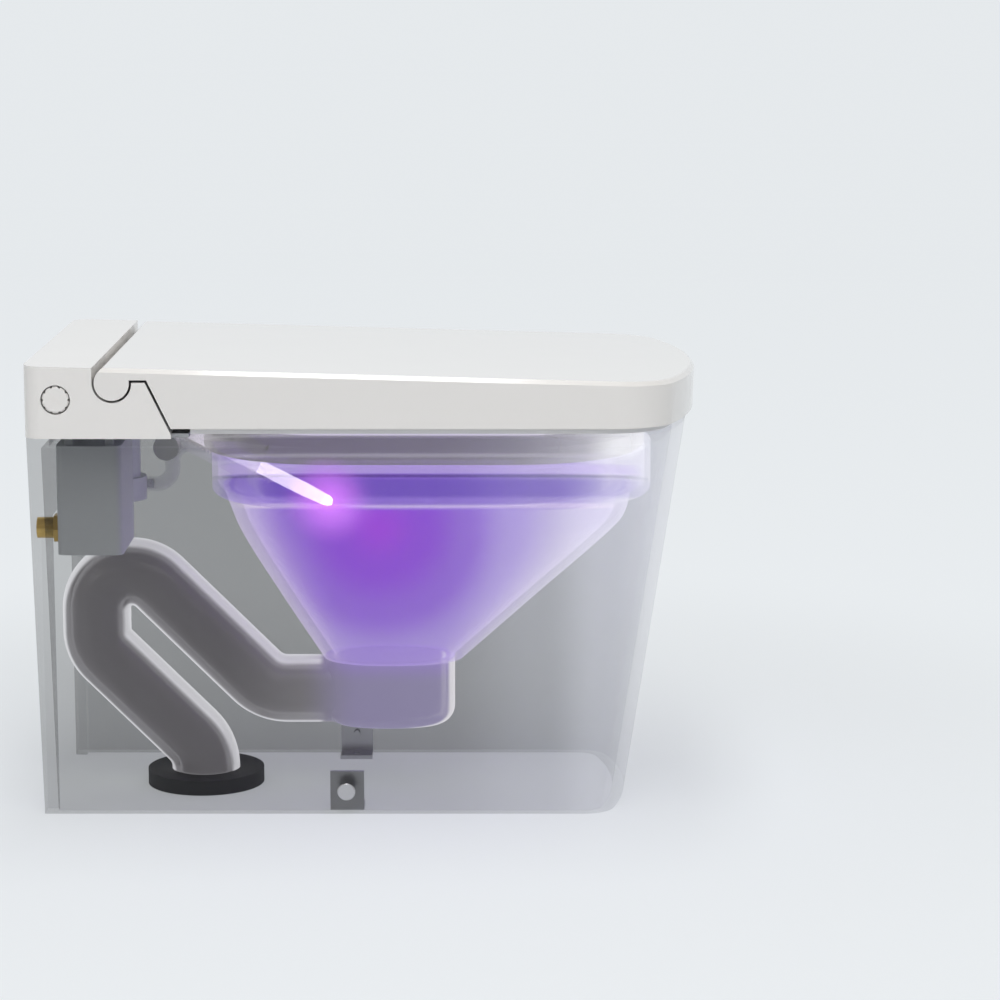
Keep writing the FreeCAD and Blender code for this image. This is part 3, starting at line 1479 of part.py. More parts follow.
def control_board():
    # Circuit board on four posts, with a relay, a coil and a connector row
    z0 = tray_top + board_lift
    z1 = z0 + board_thickness
    board = block(board_left, board_right, board_front, board_back, z0, z1)
    posts = []
    inset = 2 * board_post_radius
    for x in (board_left + inset, board_right - inset):
        for y in (board_front + inset, board_back - inset):
            posts.append(rod(board_post_radius, vec(x, y, tray_top), vec(x, y, z0)))
    third = (board_right - board_left) / 3
    relay = block(board_left + third, board_left + third + relay_height, board_front + inset,
                  board_front + inset + relay_height, z1, z1 + relay_height)
    coil = rod(relay_height / 2, vec(board_right - third, board_back - 2 * relay_height, z1),
               vec(board_right - third, board_back - 2 * relay_height, z1 + relay_height))
    row = block(board_left + inset, board_left + inset + board_lift, board_front + 2 * inset, board_back - 2 * inset,
                z1, z1 + board_lift)
    return fuse_all([board, relay, coil, row] + posts)


def power_supply():
    # Closed box with cooling slots along the top
    box = block(supply_left, supply_right, supply_front, supply_back, tray_top, tray_top + supply_height)
    box = box.makeFillet(cover_wall, [e for e in box.Edges if e.BoundBox.ZLength > supply_height / 2])
    for index in range(supply_slots):
        x = supply_left + (supply_right - supply_left) * (index + 1) / (supply_slots + 1)
        box = box.cut(block(x, x + cover_wall, supply_front + 2 * cover_wall, supply_back - 2 * cover_wall,
                            tray_top + supply_height - cover_wall, tray_top + supply_height))
    return box


def odour_fan_housing():
    foot = vec(odour_x, odour_y, tray_top)
    top = vec(odour_x, odour_y, tray_top + odour_height)
    outer = rod(odour_radius, foot, top)
    room = rod(odour_radius - odour_wall, vec(odour_x, odour_y, tray_top + odour_wall),
               vec(odour_x, odour_y, tray_top + odour_height - odour_wall))
    link = block(filter_right, odour_x, odour_y - odour_radius / 2, odour_y + odour_radius / 2,
                 tray_top, tray_top + odour_height / 2)
    link_room = block(filter_right, odour_x, odour_y - odour_radius / 2 + odour_wall,
                      odour_y + odour_radius / 2 - odour_wall, tray_top + odour_wall,
                      tray_top + odour_height / 2 - odour_wall)
    spindle_top = tray_top + odour_wall + fan_gap + odour_fan_height * hub_share - seal_gap
    spindle = rod(shaft_radius / 2, foot, vec(odour_x, odour_y, spindle_top))
    shell = cut_all(outer.fuse(link), [room, link_room])
    return shell.fuse(spindle).removeSplitter()


def odour_fan():
    return upright_fan(odour_fan_radius, odour_fan_radius / 3, impeller_blades - 2, shaft_radius / 2,
                       odour_fan_height, odour_x, odour_y, tray_top + odour_wall + fan_gap)


def odour_filter():
    # Ribbed carbon cartridge beside the fan
    body = block(filter_left, filter_right, filter_front, filter_back, tray_top, tray_top + odour_height)
    for index in range(filter_slots):
        y = filter_front + (filter_back - filter_front) * (index + 1) / (filter_slots + 1)
        body = body.cut(block(filter_left + odour_wall, filter_right - odour_wall, y - odour_wall / 2,
                              y + odour_wall / 2, tray_top + odour_height / 2, tray_top + odour_height))
    return body


def mains_gland():
    # Cord gland in the back of the cover: flange and nut inside, nose outside, open bore
    y0 = cover_back - cover_wall - gland_inside
    nose = rod(gland_radius, vec(gland_x, y0, gland_z), vec(gland_x, half_length, gland_z))
    flange = rod(gland_flange_radius, vec(gland_x, cover_back - cover_wall - gland_flange, gland_z),
                 vec(gland_x, cover_back - cover_wall, gland_z))
    return nose.fuse(flange).cut(rod(gland_bore, vec(gland_x, y0, gland_z),
                                     vec(gland_x, half_length, gland_z))).removeSplitter()


pieces = (
    pan_skirt, rim_collar, flush_ring, bowl, sump, trapway, outlet_seal, floor_brackets, side_fixings,
    rear_tray, rear_cover, cover_screws, hinge_posts, hinge_pins, soft_close_dampers,
    nozzle_guide, nozzle_motor, dryer_duct, dryer_blower, flush_tank, pump_housing, rim_hose, tank_hose,
    inlet_fitting, inlet_strainer, water_heater, inlet_valve, control_board, power_supply,
    odour_fan_housing, odour_filter, mains_gland,
    seat_lower_shell, seat_upper_shell, seat_hinge_arms, seat_heater, seat_buffers,
    lid_shell, lid_inner_panel, lid_hinge_arms, lid_buffers,
    wand_tube, wand_rack, nozzle_tip, uv_lamp, drive_pinion,
    side_knob, knob_plunger, dryer_flap, dryer_impeller, pump_impeller, odour_fan,
)

for piece in pieces:
    solid = piece()
    solid.exportStep("parts/" + piece.__name__ + ".step")
    print(piece.__name__, "solids", len(solid.Solids), "valid", solid.isValid())
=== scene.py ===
import json
import math
import bpy
import numpy as np
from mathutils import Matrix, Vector


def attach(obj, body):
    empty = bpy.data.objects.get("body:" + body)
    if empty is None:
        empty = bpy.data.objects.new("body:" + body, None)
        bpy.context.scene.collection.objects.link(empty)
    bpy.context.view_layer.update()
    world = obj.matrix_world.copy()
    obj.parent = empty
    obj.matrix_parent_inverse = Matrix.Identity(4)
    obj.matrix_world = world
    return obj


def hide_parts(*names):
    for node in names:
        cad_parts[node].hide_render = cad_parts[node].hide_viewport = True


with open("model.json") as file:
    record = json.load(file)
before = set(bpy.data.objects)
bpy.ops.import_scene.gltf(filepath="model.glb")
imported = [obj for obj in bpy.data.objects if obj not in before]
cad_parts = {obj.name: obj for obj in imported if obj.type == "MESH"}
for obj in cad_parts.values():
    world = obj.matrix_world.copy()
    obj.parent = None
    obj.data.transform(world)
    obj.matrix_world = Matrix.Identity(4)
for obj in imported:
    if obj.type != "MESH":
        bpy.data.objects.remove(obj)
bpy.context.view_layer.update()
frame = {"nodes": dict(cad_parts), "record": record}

nodes = frame["nodes"]
print("stage: frame loaded,", len(nodes), "nodes")

sharpAngle = math.radians(32)  # edges that turn by more than this stay sharp
weldGap = 0.00001  # corners of loose triangles that are closer than this become one


def seen(red, green, blue):  # a colour as it shows on screen, 0 to 255, as linear light
    shares = [value / 255 for value in (red, green, blue)]
    return tuple(((s + 0.055) / 1.055) ** 2.4 if s > 0.04045 else s / 12.92 for s in shares) + (1.0,)


# Small helpers for shader nodes
def feed(tree, socket, value):  # a socket takes a link or a plain value
    if isinstance(value, bpy.types.NodeSocket):
        tree.links.new(value, socket)
    else:
        socket.default_value = value


def mathNode(tree, operation, first, second=None, clamp=False):
    node = tree.nodes.new("ShaderNodeMath")
    node.operation = operation
    node.use_clamp = clamp
    feed(tree, node.inputs[0], first)
    if second is not None:
        feed(tree, node.inputs[1], second)
    return node.outputs[0]


def mixColor(tree, share, first, second):
    node = tree.nodes.new("ShaderNodeMix")
    node.data_type = "RGBA"
    for index, value in ((0, share), (6, first), (7, second)):  # sockets 6 and 7 are its two colours
        feed(tree, node.inputs[index], value)
    return node.outputs[2]


def fadeOf(tree, value, start, end, first=0.0, last=1.0, kind="SMOOTHSTEP"):
    # Goes from a first to a last value while the input goes from start to end
    fade = tree.nodes.new("ShaderNodeMapRange")
    fade.interpolation_type = kind
    given = {"Value": value, "From Min": start, "From Max": end, "To Min": first, "To Max": last}
    for label, number in given.items():
        feed(tree, fade.inputs[label], number)
    return fade.outputs["Result"]


def rampOf(tree, share, stops):
    # Colours along a 0 to 1 share
    ramp = tree.nodes.new("ShaderNodeValToRGB")
    ramp.color_ramp.interpolation = "EASE"
    points = ramp.color_ramp.elements
    while len(points) < len(stops):
        points.new(1.0)
    for point, (place, color) in zip(points, stops):
        point.position = place
        point.color = color
    tree.links.new(share, ramp.inputs["Fac"])
    return ramp.outputs["Color"]


def useGroup(tree, group, values):
    node = tree.nodes.new("ShaderNodeGroup")
    node.node_tree = group
    for label, value in values.items():
        feed(tree, node.inputs[label], value)
    return node


# Shader node groups that several finishes use
def newGroup(name, inputs, outputs):
    # Inputs are label, kind and value; outputs are label and kind
    group = bpy.data.node_groups.new(name, "ShaderNodeTree")
    for label, kind, value in inputs:
        socket = group.interface.new_socket(label, in_out="INPUT", socket_type=kind)
        if value is not None:
            socket.default_value = value
    for label, kind in outputs:
        group.interface.new_socket(label, in_out="OUTPUT", socket_type=kind)
    return group, group.nodes.new("NodeGroupInput"), group.nodes.new("NodeGroupOutput")


floatSocket, colorSocket = "NodeSocketFloat", "NodeSocketColor"
cloudDetail, grainDetail = 3.0, 1.0


def buildFineGrain():
    # Slow clouds shift the colour and the gloss a little, a fine grain gives the height
    group, given, out = newGroup(
        "fineGrain",
        [("Color", colorSocket, None), ("Tint", floatSocket, 0.03), ("Roughness", floatSocket, 0.3),
         ("Spread", floatSocket, 0.05), ("Cloud Scale", floatSocket, 8.0),
         ("Grain Scale", floatSocket, 400.0)],
        [("Color", colorSocket), ("Roughness", floatSocket), ("Height", floatSocket)])
    place = group.nodes.new("ShaderNodeTexCoord").outputs["Object"]
    noises = []
    for label, detail in (("Cloud Scale", cloudDetail), ("Grain Scale", grainDetail)):
        noise = group.nodes.new("ShaderNodeTexNoise")
        noise.inputs["Detail"].default_value = detail
        group.links.new(place, noise.inputs["Vector"])
        group.links.new(given.outputs[label], noise.inputs["Scale"])
        noises.append(noise.outputs["Fac"])
    clouds, grain = noises
    swing = mathNode(group, "SUBTRACT", clouds, 0.5)  # noise lies around one half
    shade = mathNode(group, "ADD", mathNode(group, "MULTIPLY", swing, given.outputs["Tint"]), 1.0)
    bright = group.nodes.new("ShaderNodeVectorMath")
    bright.operation = "SCALE"
    group.links.new(given.outputs["Color"], bright.inputs[0])
    group.links.new(shade, bright.inputs["Scale"])
    gloss = mathNode(group, "ADD", given.outputs["Roughness"],
                     mathNode(group, "MULTIPLY", swing, given.outputs["Spread"]), clamp=True)
    group.links.new(bright.outputs[0], out.inputs["Color"])
    group.links.new(gloss, out.inputs["Roughness"])
    group.links.new(grain, out.inputs["Height"])
    return group


def buildLampWash():
    # Share: distance from a centre in the side plane, over a reach: 0 at the centre, 1 and more outside.
    # Height: z plus x times the slope, so that near and far walls line up when seen from the side.
    # Depth: the place from front to back
    group, given, out = newGroup(
        "lampWash",
        [("Center Y", floatSocket, 0.0), ("Center Z", floatSocket, 0.3), ("Reach", floatSocket, 0.1),
         ("Slope", floatSocket, 0.186)],
        [("Share", floatSocket), ("Height", floatSocket), ("Depth", floatSocket)])
    parts = group.nodes.new("ShaderNodeSeparateXYZ")
    group.links.new(group.nodes.new("ShaderNodeTexCoord").outputs["Object"], parts.inputs[0])
    lift = mathNode(group, "MULTIPLY", parts.outputs["X"], given.outputs["Slope"])
    height = mathNode(group, "ADD", parts.outputs["Z"], lift)
    away = mathNode(group, "SUBTRACT", parts.outputs["Y"], given.outputs["Center Y"])
    above = mathNode(group, "SUBTRACT", height, given.outputs["Center Z"])
    square = mathNode(group, "ADD", mathNode(group, "MULTIPLY", away, away),
                      mathNode(group, "MULTIPLY", above, above))
    share = mathNode(group, "DIVIDE", mathNode(group, "SQRT", square), given.outputs["Reach"])
    group.links.new(share, out.inputs["Share"])
    group.links.new(height, out.inputs["Height"])
    group.links.new(parts.outputs["Y"], out.inputs["Depth"])
    return group


levelFrom = 0.95  # a face whose normal has more than this of the vertical counts as level


def buildSideBand():
    # Mask: 1 where the surface faces front, back, up or down, and 0 where it faces a side.
    # Level: 1 on level faces only
    group, given, out = newGroup("sideBand", [("Low", floatSocket, 0.2), ("High", floatSocket, 0.5)],
                                 [("Mask", floatSocket), ("Level", floatSocket)])
    parts = group.nodes.new("ShaderNodeSeparateXYZ")
    group.links.new(group.nodes.new("ShaderNodeTexCoord").outputs["Normal"], parts.inputs[0])
    mask = fadeOf(group, mathNode(group, "ABSOLUTE", parts.outputs["X"]), given.outputs["Low"],
                  given.outputs["High"], 1.0, 0.0)
    level = mathNode(group, "GREATER_THAN", mathNode(group, "ABSOLUTE", parts.outputs["Z"]), levelFrom)
    group.links.new(mask, out.inputs["Mask"])
    group.links.new(level, out.inputs["Level"])
    return group


fineGrain, lampWash, sideBand = buildFineGrain(), buildLampWash(), buildSideBand()

bumpDepth = 0.0005
plainWhite = (1.0, 1.0, 1.0, 1.0)


def newFinish(name, look):
    # One Principled surface on the fine grain; look holds what a user would change
    material = bpy.data.materials.new(name)
    material.use_nodes = True
    tree = material.node_tree
    shader = tree.nodes["Principled BSDF"]
    color = look.get("color", plainWhite)
    grain = useGroup(tree, fineGrain, {
        "Color": color, "Tint": look.get("tint", 0.04), "Roughness": look["rough"],
        "Spread": look.get("spread", 0.08), "Cloud Scale": look.get("clouds", 9.0),
        "Grain Scale": look.get("grain", 500.0)})
    tree.links.new(grain.outputs["Color"], shader.inputs["Base Color"])
    tree.links.new(grain.outputs["Roughness"], shader.inputs["Roughness"])
    bump = tree.nodes.new("ShaderNodeBump")
    bump.inputs["Strength"].default_value = look.get("bump", 0.02)
    bump.inputs["Distance"].default_value = bumpDepth
    tree.links.new(grain.outputs["Height"], bump.inputs["Height"])
    tree.links.new(bump.outputs["Normal"], shader.inputs["Normal"])
    shader.inputs["Metallic"].default_value = look.get("metallic", 0.0)
    shader.inputs["Coat Weight"].default_value = look.get("coat", 0.0)
    shader.inputs["Coat Roughness"].default_value = look.get("coatRough", 0.08)
    shader.inputs["Alpha"].default_value = look.get("alpha", 1.0)
    shader.inputs["Emission Color"].default_value = color
    # paintedGlow: a painted glow on a part that is no lamp
    shader.inputs["Emission Strength"].default_value = look.get("paintedGlow", 0.0)
    return material, tree, shader, grain


def paint(tree, shader, grain, look, tone):
    # The tone is painted light: it shines by itself though the part is no lamp, and a share of it is also the
    # surface's own colour
    tree.links.new(mixColor(tree, look["lit"], look["color"], tone), grain.inputs["Color"])
    tree.links.new(tone, shader.inputs["Emission Color"])
    shader.inputs["Emission Strength"].default_value = look["strength"]


plainLooks = {
    "seal_rubber": {"color": seen(45, 45, 48), "rough": 0.7, "bump": 0.1},
    "lid_gloss": {"color": seen(229, 227, 225), "rough": 0.16, "coat": 0.6, "tint": 0.01, "clouds": 4.0},
    "inner_plastic": {"color": seen(226, 226, 228), "rough": 0.32, "tint": 0.02},
    "cover_plastic": {"color": seen(232, 230, 228), "rough": 0.2, "coat": 0.4, "tint": 0.01, "clouds": 4.0},
    "structure_plastic": {"color": seen(190, 192, 196), "rough": 0.45, "bump": 0.05},
    "dark_plastic": {"color": seen(52, 52, 55), "rough": 0.5, "bump": 0.06},
    # The clear hose and guide glow a little: painted light that lifts them out of their shade
    "clear_hose": {"color": seen(190, 192, 196), "rough": 0.3, "alpha": 0.25, "paintedGlow": 0.25},
    "clear_guide": {"color": seen(214, 216, 220), "rough": 0.2, "alpha": 0.3, "coat": 0.5, "paintedGlow": 0.35},
    "tank_plastic": {"color": seen(214, 218, 222), "rough": 0.4, "bump": 0.04},
    "gear_plastic": {"color": seen(238, 234, 220), "rough": 0.38, "bump": 0.04},
    "steel": {"color": seen(196, 196, 198), "rough": 0.32, "metallic": 1.0, "tint": 0.1},
    "brass": {"color": seen(214, 182, 110), "rough": 0.28, "metallic": 1.0, "tint": 0.1},
    "board_green": {"color": seen(36, 110, 72), "rough": 0.4, "tint": 0.2, "clouds": 60.0},
    "foil": {"color": seen(214, 214, 216), "rough": 0.35, "metallic": 1.0, "tint": 0.08},
}
finishes = {slot: newFinish(slot, look)[0] for slot, look in plainLooks.items()}

# See-through glaze of the skirt: its tones go from the front, at "from", to "to", and darker on the way. The
# pale tones at the front are a painted highlight, where the curved front catches the light.
skirtLook = {"rough": 0.25, "alpha": 0.24, "tint": 0.05, "clouds": 3.0, "from": -0.34, "to": 0.1,
             "tones": [(0.0, seen(242, 244, 247)), (0.1, seen(222, 225, 230)), (0.24, seen(194, 197, 202)),
                       (0.37, seen(138, 141, 146)), (0.62, seen(60, 62, 66)), (1.0, seen(10, 11, 13))]}


def skirtFinish(look):
    material, tree, shader, grain = newFinish("skirt_glaze", look)
    depth = useGroup(tree, lampWash, {}).outputs["Depth"]
    # Paler towards the front as a painted highlight, darker towards the back
    share = fadeOf(tree, depth, look["from"], look["to"], kind="LINEAR")
    tree.links.new(rampOf(tree, share, look["tones"]), grain.inputs["Color"])
    return material


finishes["skirt_glaze"] = skirtFinish(skirtLook)

# White glaze with the lamp's violet light painted on as a glow, and a painted pale sheen where a wall is seen
# edge-on from the side.
# wash: the painted lamp light, colours by the distance from the centre, as a share of the reach
# bands: painted lines of light and shade, each with from and to height, soft edge, share and colour
# edge and edgeFront: the painted pale sheen on walls at the back and the front; low and high: how far they
# turn to a side
# Painted violet glow of the lamp on the bowl, ring and collar, around a fixed place; no light throws it
paintedHaloLook = {"centerY": 0.037, "centerZ": 0.294, "reach": 0.048, "share": 0.9, "color": (1.1, 0.34, 1.45, 1.0)}
bowlLook = {
    "color": seen(120, 96, 160), "rough": 0.25, "alpha": 0.36, "strength": 0.9, "lit": 0.6,
    "centerY": -0.012, "centerZ": 0.268, "reach": 0.2,
    "edge": seen(224, 212, 244), "edgeFront": seen(234, 230, 244), "low": 0.25, "high": 0.78,
    "wash": [(0.0, seen(172, 0, 236)), (0.22, seen(150, 40, 230)), (0.45, seen(156, 100, 228)),
             (0.66, seen(184, 160, 234)), (1.0, seen(220, 214, 238))],
    "bands": [(0.2935, 0.32, 0.004, 0.95, seen(98, 36, 186)),
              (0.2875, 0.2925, 0.0012, 1.0, seen(255, 240, 255))],
}
ringLook = {
    "color": seen(150, 140, 175), "rough": 0.2, "alpha": 0.26, "strength": 0.95, "lit": 0.5,
    "centerY": 0.0, "centerZ": 0.33, "reach": 0.27,
    "edge": seen(214, 210, 224), "edgeFront": seen(232, 230, 240), "low": 0.2, "high": 0.6,
    "wash": [(0.0, seen(166, 132, 234)), (0.4, seen(168, 138, 234)), (0.72, seen(176, 156, 226)),
             (0.95, seen(240, 239, 246)), (1.0, seen(250, 250, 252))],
    "bands": [(0.298, 0.317, 0.003, 0.6, seen(88, 38, 188)),
              (0.3215, 0.331, 0.001, 0.9, seen(214, 196, 250)),
              (0.3175, 0.3205, 0.0012, 0.85, seen(40, 14, 110)),
              (0.332, 0.336, 0.0015, 0.6, seen(232, 228, 250))],
}
collarLook = {
    "color": seen(120, 118, 120), "rough": 0.25, "alpha": 0.62, "strength": 0.95, "lit": 0.2,
    "centerY": 0.02, "centerZ": 0.35, "reach": 0.29,
    "edge": seen(168, 166, 168), "edgeFront": seen(226, 226, 226), "low": 0.2, "high": 0.6,
    "wash": [(0.0, seen(120, 118, 119)), (0.55, seen(128, 126, 127)), (0.8, seen(176, 175, 176)),
             (0.93, seen(244, 244, 244))],
    "bands": [(0.3575, 0.361, 0.0015, 0.6, seen(214, 213, 214)),
              (0.337, 0.341, 0.0015, 0.5, seen(210, 208, 212))],
}
# The pale walls are a painted sheen
frontWallFrom, frontWallTo = -0.02, -0.2  # pale walls take the front's tone on the way between these


def washedFinish(name, look):
    material, tree, shader, grain = newFinish(name, look)
    wash = useGroup(tree, lampWash, {"Center Y": look["centerY"], "Center Z": look["centerZ"],
                                     "Reach": look["reach"]})
    height, depth = wash.outputs["Height"], wash.outputs["Depth"]
    edge = useGroup(tree, sideBand, {"Low": look["low"], "High": look["high"]})
    # Painted lamp light: the violet wash by the distance from the centre
    glow = rampOf(tree, wash.outputs["Share"], look["wash"])
    # Painted lines of light and shade at given heights
    for low, high, soft, share, color in look["bands"]:
        inside = mathNode(tree, "MULTIPLY", fadeOf(tree, height, low - soft, low + soft, 0.0, share),
                          fadeOf(tree, height, high - soft, high + soft, 1.0, 0.0))
        glow = mixColor(tree, inside, glow, color)
    # Painted pale sheen on walls that face front or back
    upright = mathNode(tree, "SUBTRACT", edge.outputs["Mask"], edge.outputs["Level"], clamp=True)
    walls = mixColor(tree, fadeOf(tree, depth, frontWallFrom, frontWallTo), look["edge"], look["edgeFront"])
    glow = mixColor(tree, upright, glow, walls)
    # Painted lamp glow around the lamp's place
    halo = useGroup(tree, lampWash, {"Center Y": paintedHaloLook["centerY"], "Center Z": paintedHaloLook["centerZ"],
                                     "Reach": paintedHaloLook["reach"]})
    haloShare = fadeOf(tree, halo.outputs["Share"], 0.0, 1.0, paintedHaloLook["share"], 0.0)
    paint(tree, shader, grain, look, mixColor(tree, haloShare, glow, paintedHaloLook["color"]))
    return material


finishes["bowl_glaze"] = washedFinish("bowl_glaze", bowlLook)
ringFinish = washedFinish("ring_glaze", ringLook)
collarFinish = washedFinish("collar_glaze", collarLook)

# Dark see-through trap, whose tones glow as painted light, with a painted pale sheen on walls seen edge-on,
# and a lilac sump with the lamp's violet haze painted in under the bowl.
# Each pair of From and To is where one tone goes over into the next: along the depth, or up for the haze
trapLook = {
    "color": seen(96, 94, 97), "rough": 0.25, "alpha": 0.85, "strength": 0.86, "lit": 0.3,
    "edge": seen(244, 244, 248), "sumpEdge": seen(255, 252, 255), "low": 0.42, "high": 0.62,
    "middle": seen(98, 96, 99), "near": seen(130, 128, 131), "nearFrom": 0.05, "nearTo": 0.16,
    "sump": seen(158, 150, 188), "sumpTop": seen(172, 146, 226), "topFrom": 0.104, "topTo": 0.138,
    "sumpFrom": 0.01, "sumpTo": 0.075,
    "backEdgeFrom": 0.046, "backEdgeTo": 0.054, "frontEdgeFrom": -0.03, "frontEdgeTo": -0.06,
}


def trapFinish(look):
    material, tree, shader, grain = newFinish("trap_glaze", look)
    edge = useGroup(tree, sideBand, {"Low": look["low"], "High": look["high"]})
    wash = useGroup(tree, lampWash, {})
    depth = wash.outputs["Depth"]
    inSump = fadeOf(tree, depth, look["sumpFrom"], look["sumpTo"], 1.0, 0.0)
    pipe = mixColor(tree, fadeOf(tree, depth, look["nearFrom"], look["nearTo"]), look["near"], look["middle"])
    # Painted violet haze of the lamp, rising in the sump
    haze = fadeOf(tree, wash.outputs["Height"], look["topFrom"], look["topTo"])
    middle = mixColor(tree, inSump, pipe, mixColor(tree, haze, look["sump"], look["sumpTop"]))
    rim = mathNode(tree, "MULTIPLY", inSump, edge.outputs["Level"])
    upright = mathNode(tree, "SUBTRACT", edge.outputs["Mask"], rim, clamp=True)
    # No pale line where the pipe meets the well
    ends = mathNode(tree, "MAXIMUM", fadeOf(tree, depth, look["backEdgeFrom"], look["backEdgeTo"]),
                    fadeOf(tree, depth, look["frontEdgeFrom"], look["frontEdgeTo"]))
    # Painted pale sheen on walls seen edge-on
    pale = mixColor(tree, inSump, look["edge"], look["sumpEdge"])
    paint(tree, shader, grain, look, mixColor(tree, mathNode(tree, "MULTIPLY", upright, ends), middle, pale))
    return material


finishes["trap_glaze"] = trapFinish(trapLook)

# White wand and glowing lamp; the glow goes down to the share "dim" between two distances from the lamp. On
# the wand, which is no lamp, the glow is painted lamp light.
lampPlace = {"Center Y": 0.0385, "Center Z": 0.2935, "Reach": 1.0}
wandLook = {"color": seen(245, 242, 250), "rough": 0.2, "coat": 0.3, "glow": seen(255, 246, 255),
            "strength": 4.5, "fadeFrom": 0.02, "fadeTo": 0.17, "dim": 0.1}
lampLook = {"color": seen(250, 224, 255), "rough": 0.15, "coat": 0.5, "glow": seen(250, 226, 255),
            "strength": 10.0, "fadeFrom": 0.1, "fadeTo": 0.2, "dim": 0.1}


def glowingFinish(name, look):
    material, tree, shader, grain = newFinish(name, look)
    away = useGroup(tree, lampWash, lampPlace).outputs["Share"]
    fade = fadeOf(tree, away, look["fadeFrom"], look["fadeTo"], 1.0, look["dim"], kind="LINEAR")
    dark = (0.0, 0.0, 0.0, 1.0)
    tree.links.new(mixColor(tree, fade, dark, look["glow"]), shader.inputs["Emission Color"])
    shader.inputs["Emission Strength"].default_value = look["strength"]
    return material


# Painted lamp light glowing on the wand
finishes["wand_plastic"] = glowingFinish("wand_plastic", wandLook)
finishes["lamp_lens"] = glowingFinish("lamp_lens", lampLook)

for part in frame["record"]["subparts"]:
    mesh = nodes[part["node"]].data
    mesh.materials.clear()
    mesh.materials.append(finishes[part["material_slot"]])
ownFinishes = {"flush_ring": ringFinish, "rim_collar": collarFinish, "rim_hose": finishes["clear_hose"],
               "tank_hose": finishes["clear_hose"], "nozzle_guide": finishes["clear_guide"],
               "dryer_duct": finishes["clear_guide"]}
for name, finish in ownFinishes.items():
    nodes[name].data.materials[0] = finish


def shadeSmooth(mesh):
    mesh.polygons.foreach_set("use_smooth", [True] * len(mesh.polygons))


def keepSharp(item):
    split = item.modifiers.new("sharpEdges", "EDGE_SPLIT")
    split.split_angle = sharpAngle


# Round CAD faces are shaded smooth, and their sharp edges stay sharp
for node in nodes.values():
    shadeSmooth(node.data)
    weld = node.modifiers.new("weld", "WELD")
    weld.merge_threshold = weldGap
    keepSharp(node)
print("stage: finishes on the frame")


# New surfaces
def addObject(name, data):
    holder = bpy.data.objects.new(name, data)
    bpy.context.scene.collection.objects.link(holder)
    return holder


def surfaceObject(name, points, faces):
    mesh = bpy.data.meshes.new(name)
    mesh.from_pydata(points.reshape(-1, 3).tolist(), [], faces)
    return addObject(name, mesh)


def gridFaces(rows, columns, closedRows=False):
    # Quads between neighbouring rows; each row is a closed ring
    row, column = np.meshgrid(np.arange(rows if closedRows else rows - 1), np.arange(columns), indexing="ij")
    nextRow, nextColumn = (row + 1) % rows, (column + 1) % columns
    corners = [row * columns + column, row * columns + nextColumn,
               nextRow * columns + nextColumn, nextRow * columns + column]
    return np.stack(corners, 2).reshape(-1, 4).tolist()


def cappedFaces(rows, sides):
    # Quads between the rings, and a flat cap on each end
    firstCap = list(range(sides))[::-1]
    lastCap = list(range((rows - 1) * sides, rows * sides))
    return gridFaces(rows, sides) + [firstCap, lastCap]


def superellipse(sides, squareness):
    # Cosine and sine once round, each to the power of two over the squareness, with its sign kept
    angle = np.linspace(0, 2 * math.pi, sides, endpoint=False)
    power = 2 / squareness
    return (np.sign(np.cos(angle)) * np.abs(np.cos(angle)) ** power,
            np.sign(np.sin(angle)) * np.abs(np.sin(angle)) ** power)


def smoothBetween(places, values, at):
    # Cubic curve through the values, with each slope the mean of its neighbours'
    places, values = np.array(places), np.array(values)
    steep = np.diff(values) / np.diff(places)
    slopes = np.concatenate([steep[:1], (steep[1:] + steep[:-1]) / 2, steep[-1:]])
    index = np.clip(np.searchsorted(places, at) - 1, 0, len(steep) - 1)
    width = places[index + 1] - places[index]
    share = (at - places[index]) / width
    start = (2 * share ** 3 - 3 * share ** 2 + 1) * values[index]
    leaving = (share ** 3 - 2 * share ** 2 + share) * width * slopes[index]
    end = (3 * share ** 2 - 2 * share ** 3) * values[index + 1]
    arriving = (share ** 3 - share ** 2) * width * slopes[index + 1]
    return start + leaving + end + arriving


# The funnel: how far forward and back its outside goes at each height
bowlShape = {"heights": (0.134, 0.205, 0.274, 0.284, 0.315),
             "fronts": (-0.096, -0.1745, -0.2505, -0.2595, -0.268),
             "backs": (0.048, 0.093, 0.1335, 0.1375, 0.149),
             "widthShare": 0.72, "squareness": 2.3, "wall": 0.013, "rows": 72, "sides": 128}


def bowlRings(shape, inset, heights):
    # At each height, x is the half width times the superellipse's cosine, and y is the middle plus the
    # half length times its sine
    front = smoothBetween(shape["heights"], shape["fronts"], heights) + inset
    back = smoothBetween(shape["heights"], shape["backs"], heights) - inset
    cosine, sine = superellipse(shape["sides"], shape["squareness"])
    reach = ((back - front) / 2)[:, None]
    x = reach * shape["widthShare"] * cosine
    y = ((back + front) / 2)[:, None] + reach * sine
    return np.stack([x, y, np.repeat(heights[:, None], shape["sides"], 1)], 2)


def bowlPiece(shape):
    # Up the outside and down the inside, closed over the rim and the foot
    up = np.linspace(shape["heights"][0], shape["heights"][-1], shape["rows"])
    points = np.concatenate([bowlRings(shape, 0.0, up), bowlRings(shape, shape["wall"], up[::-1])])
    piece = surfaceObject("bowlShell", points, gridFaces(2 * shape["rows"], shape["sides"], closedRows=True))
    shadeSmooth(piece.data)
    piece.data.materials.append(finishes["bowl_glaze"])
    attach(piece, "root")
    return piece


bowlShell = bowlPiece(bowlShape)
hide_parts("bowl")
print("stage: bowl")

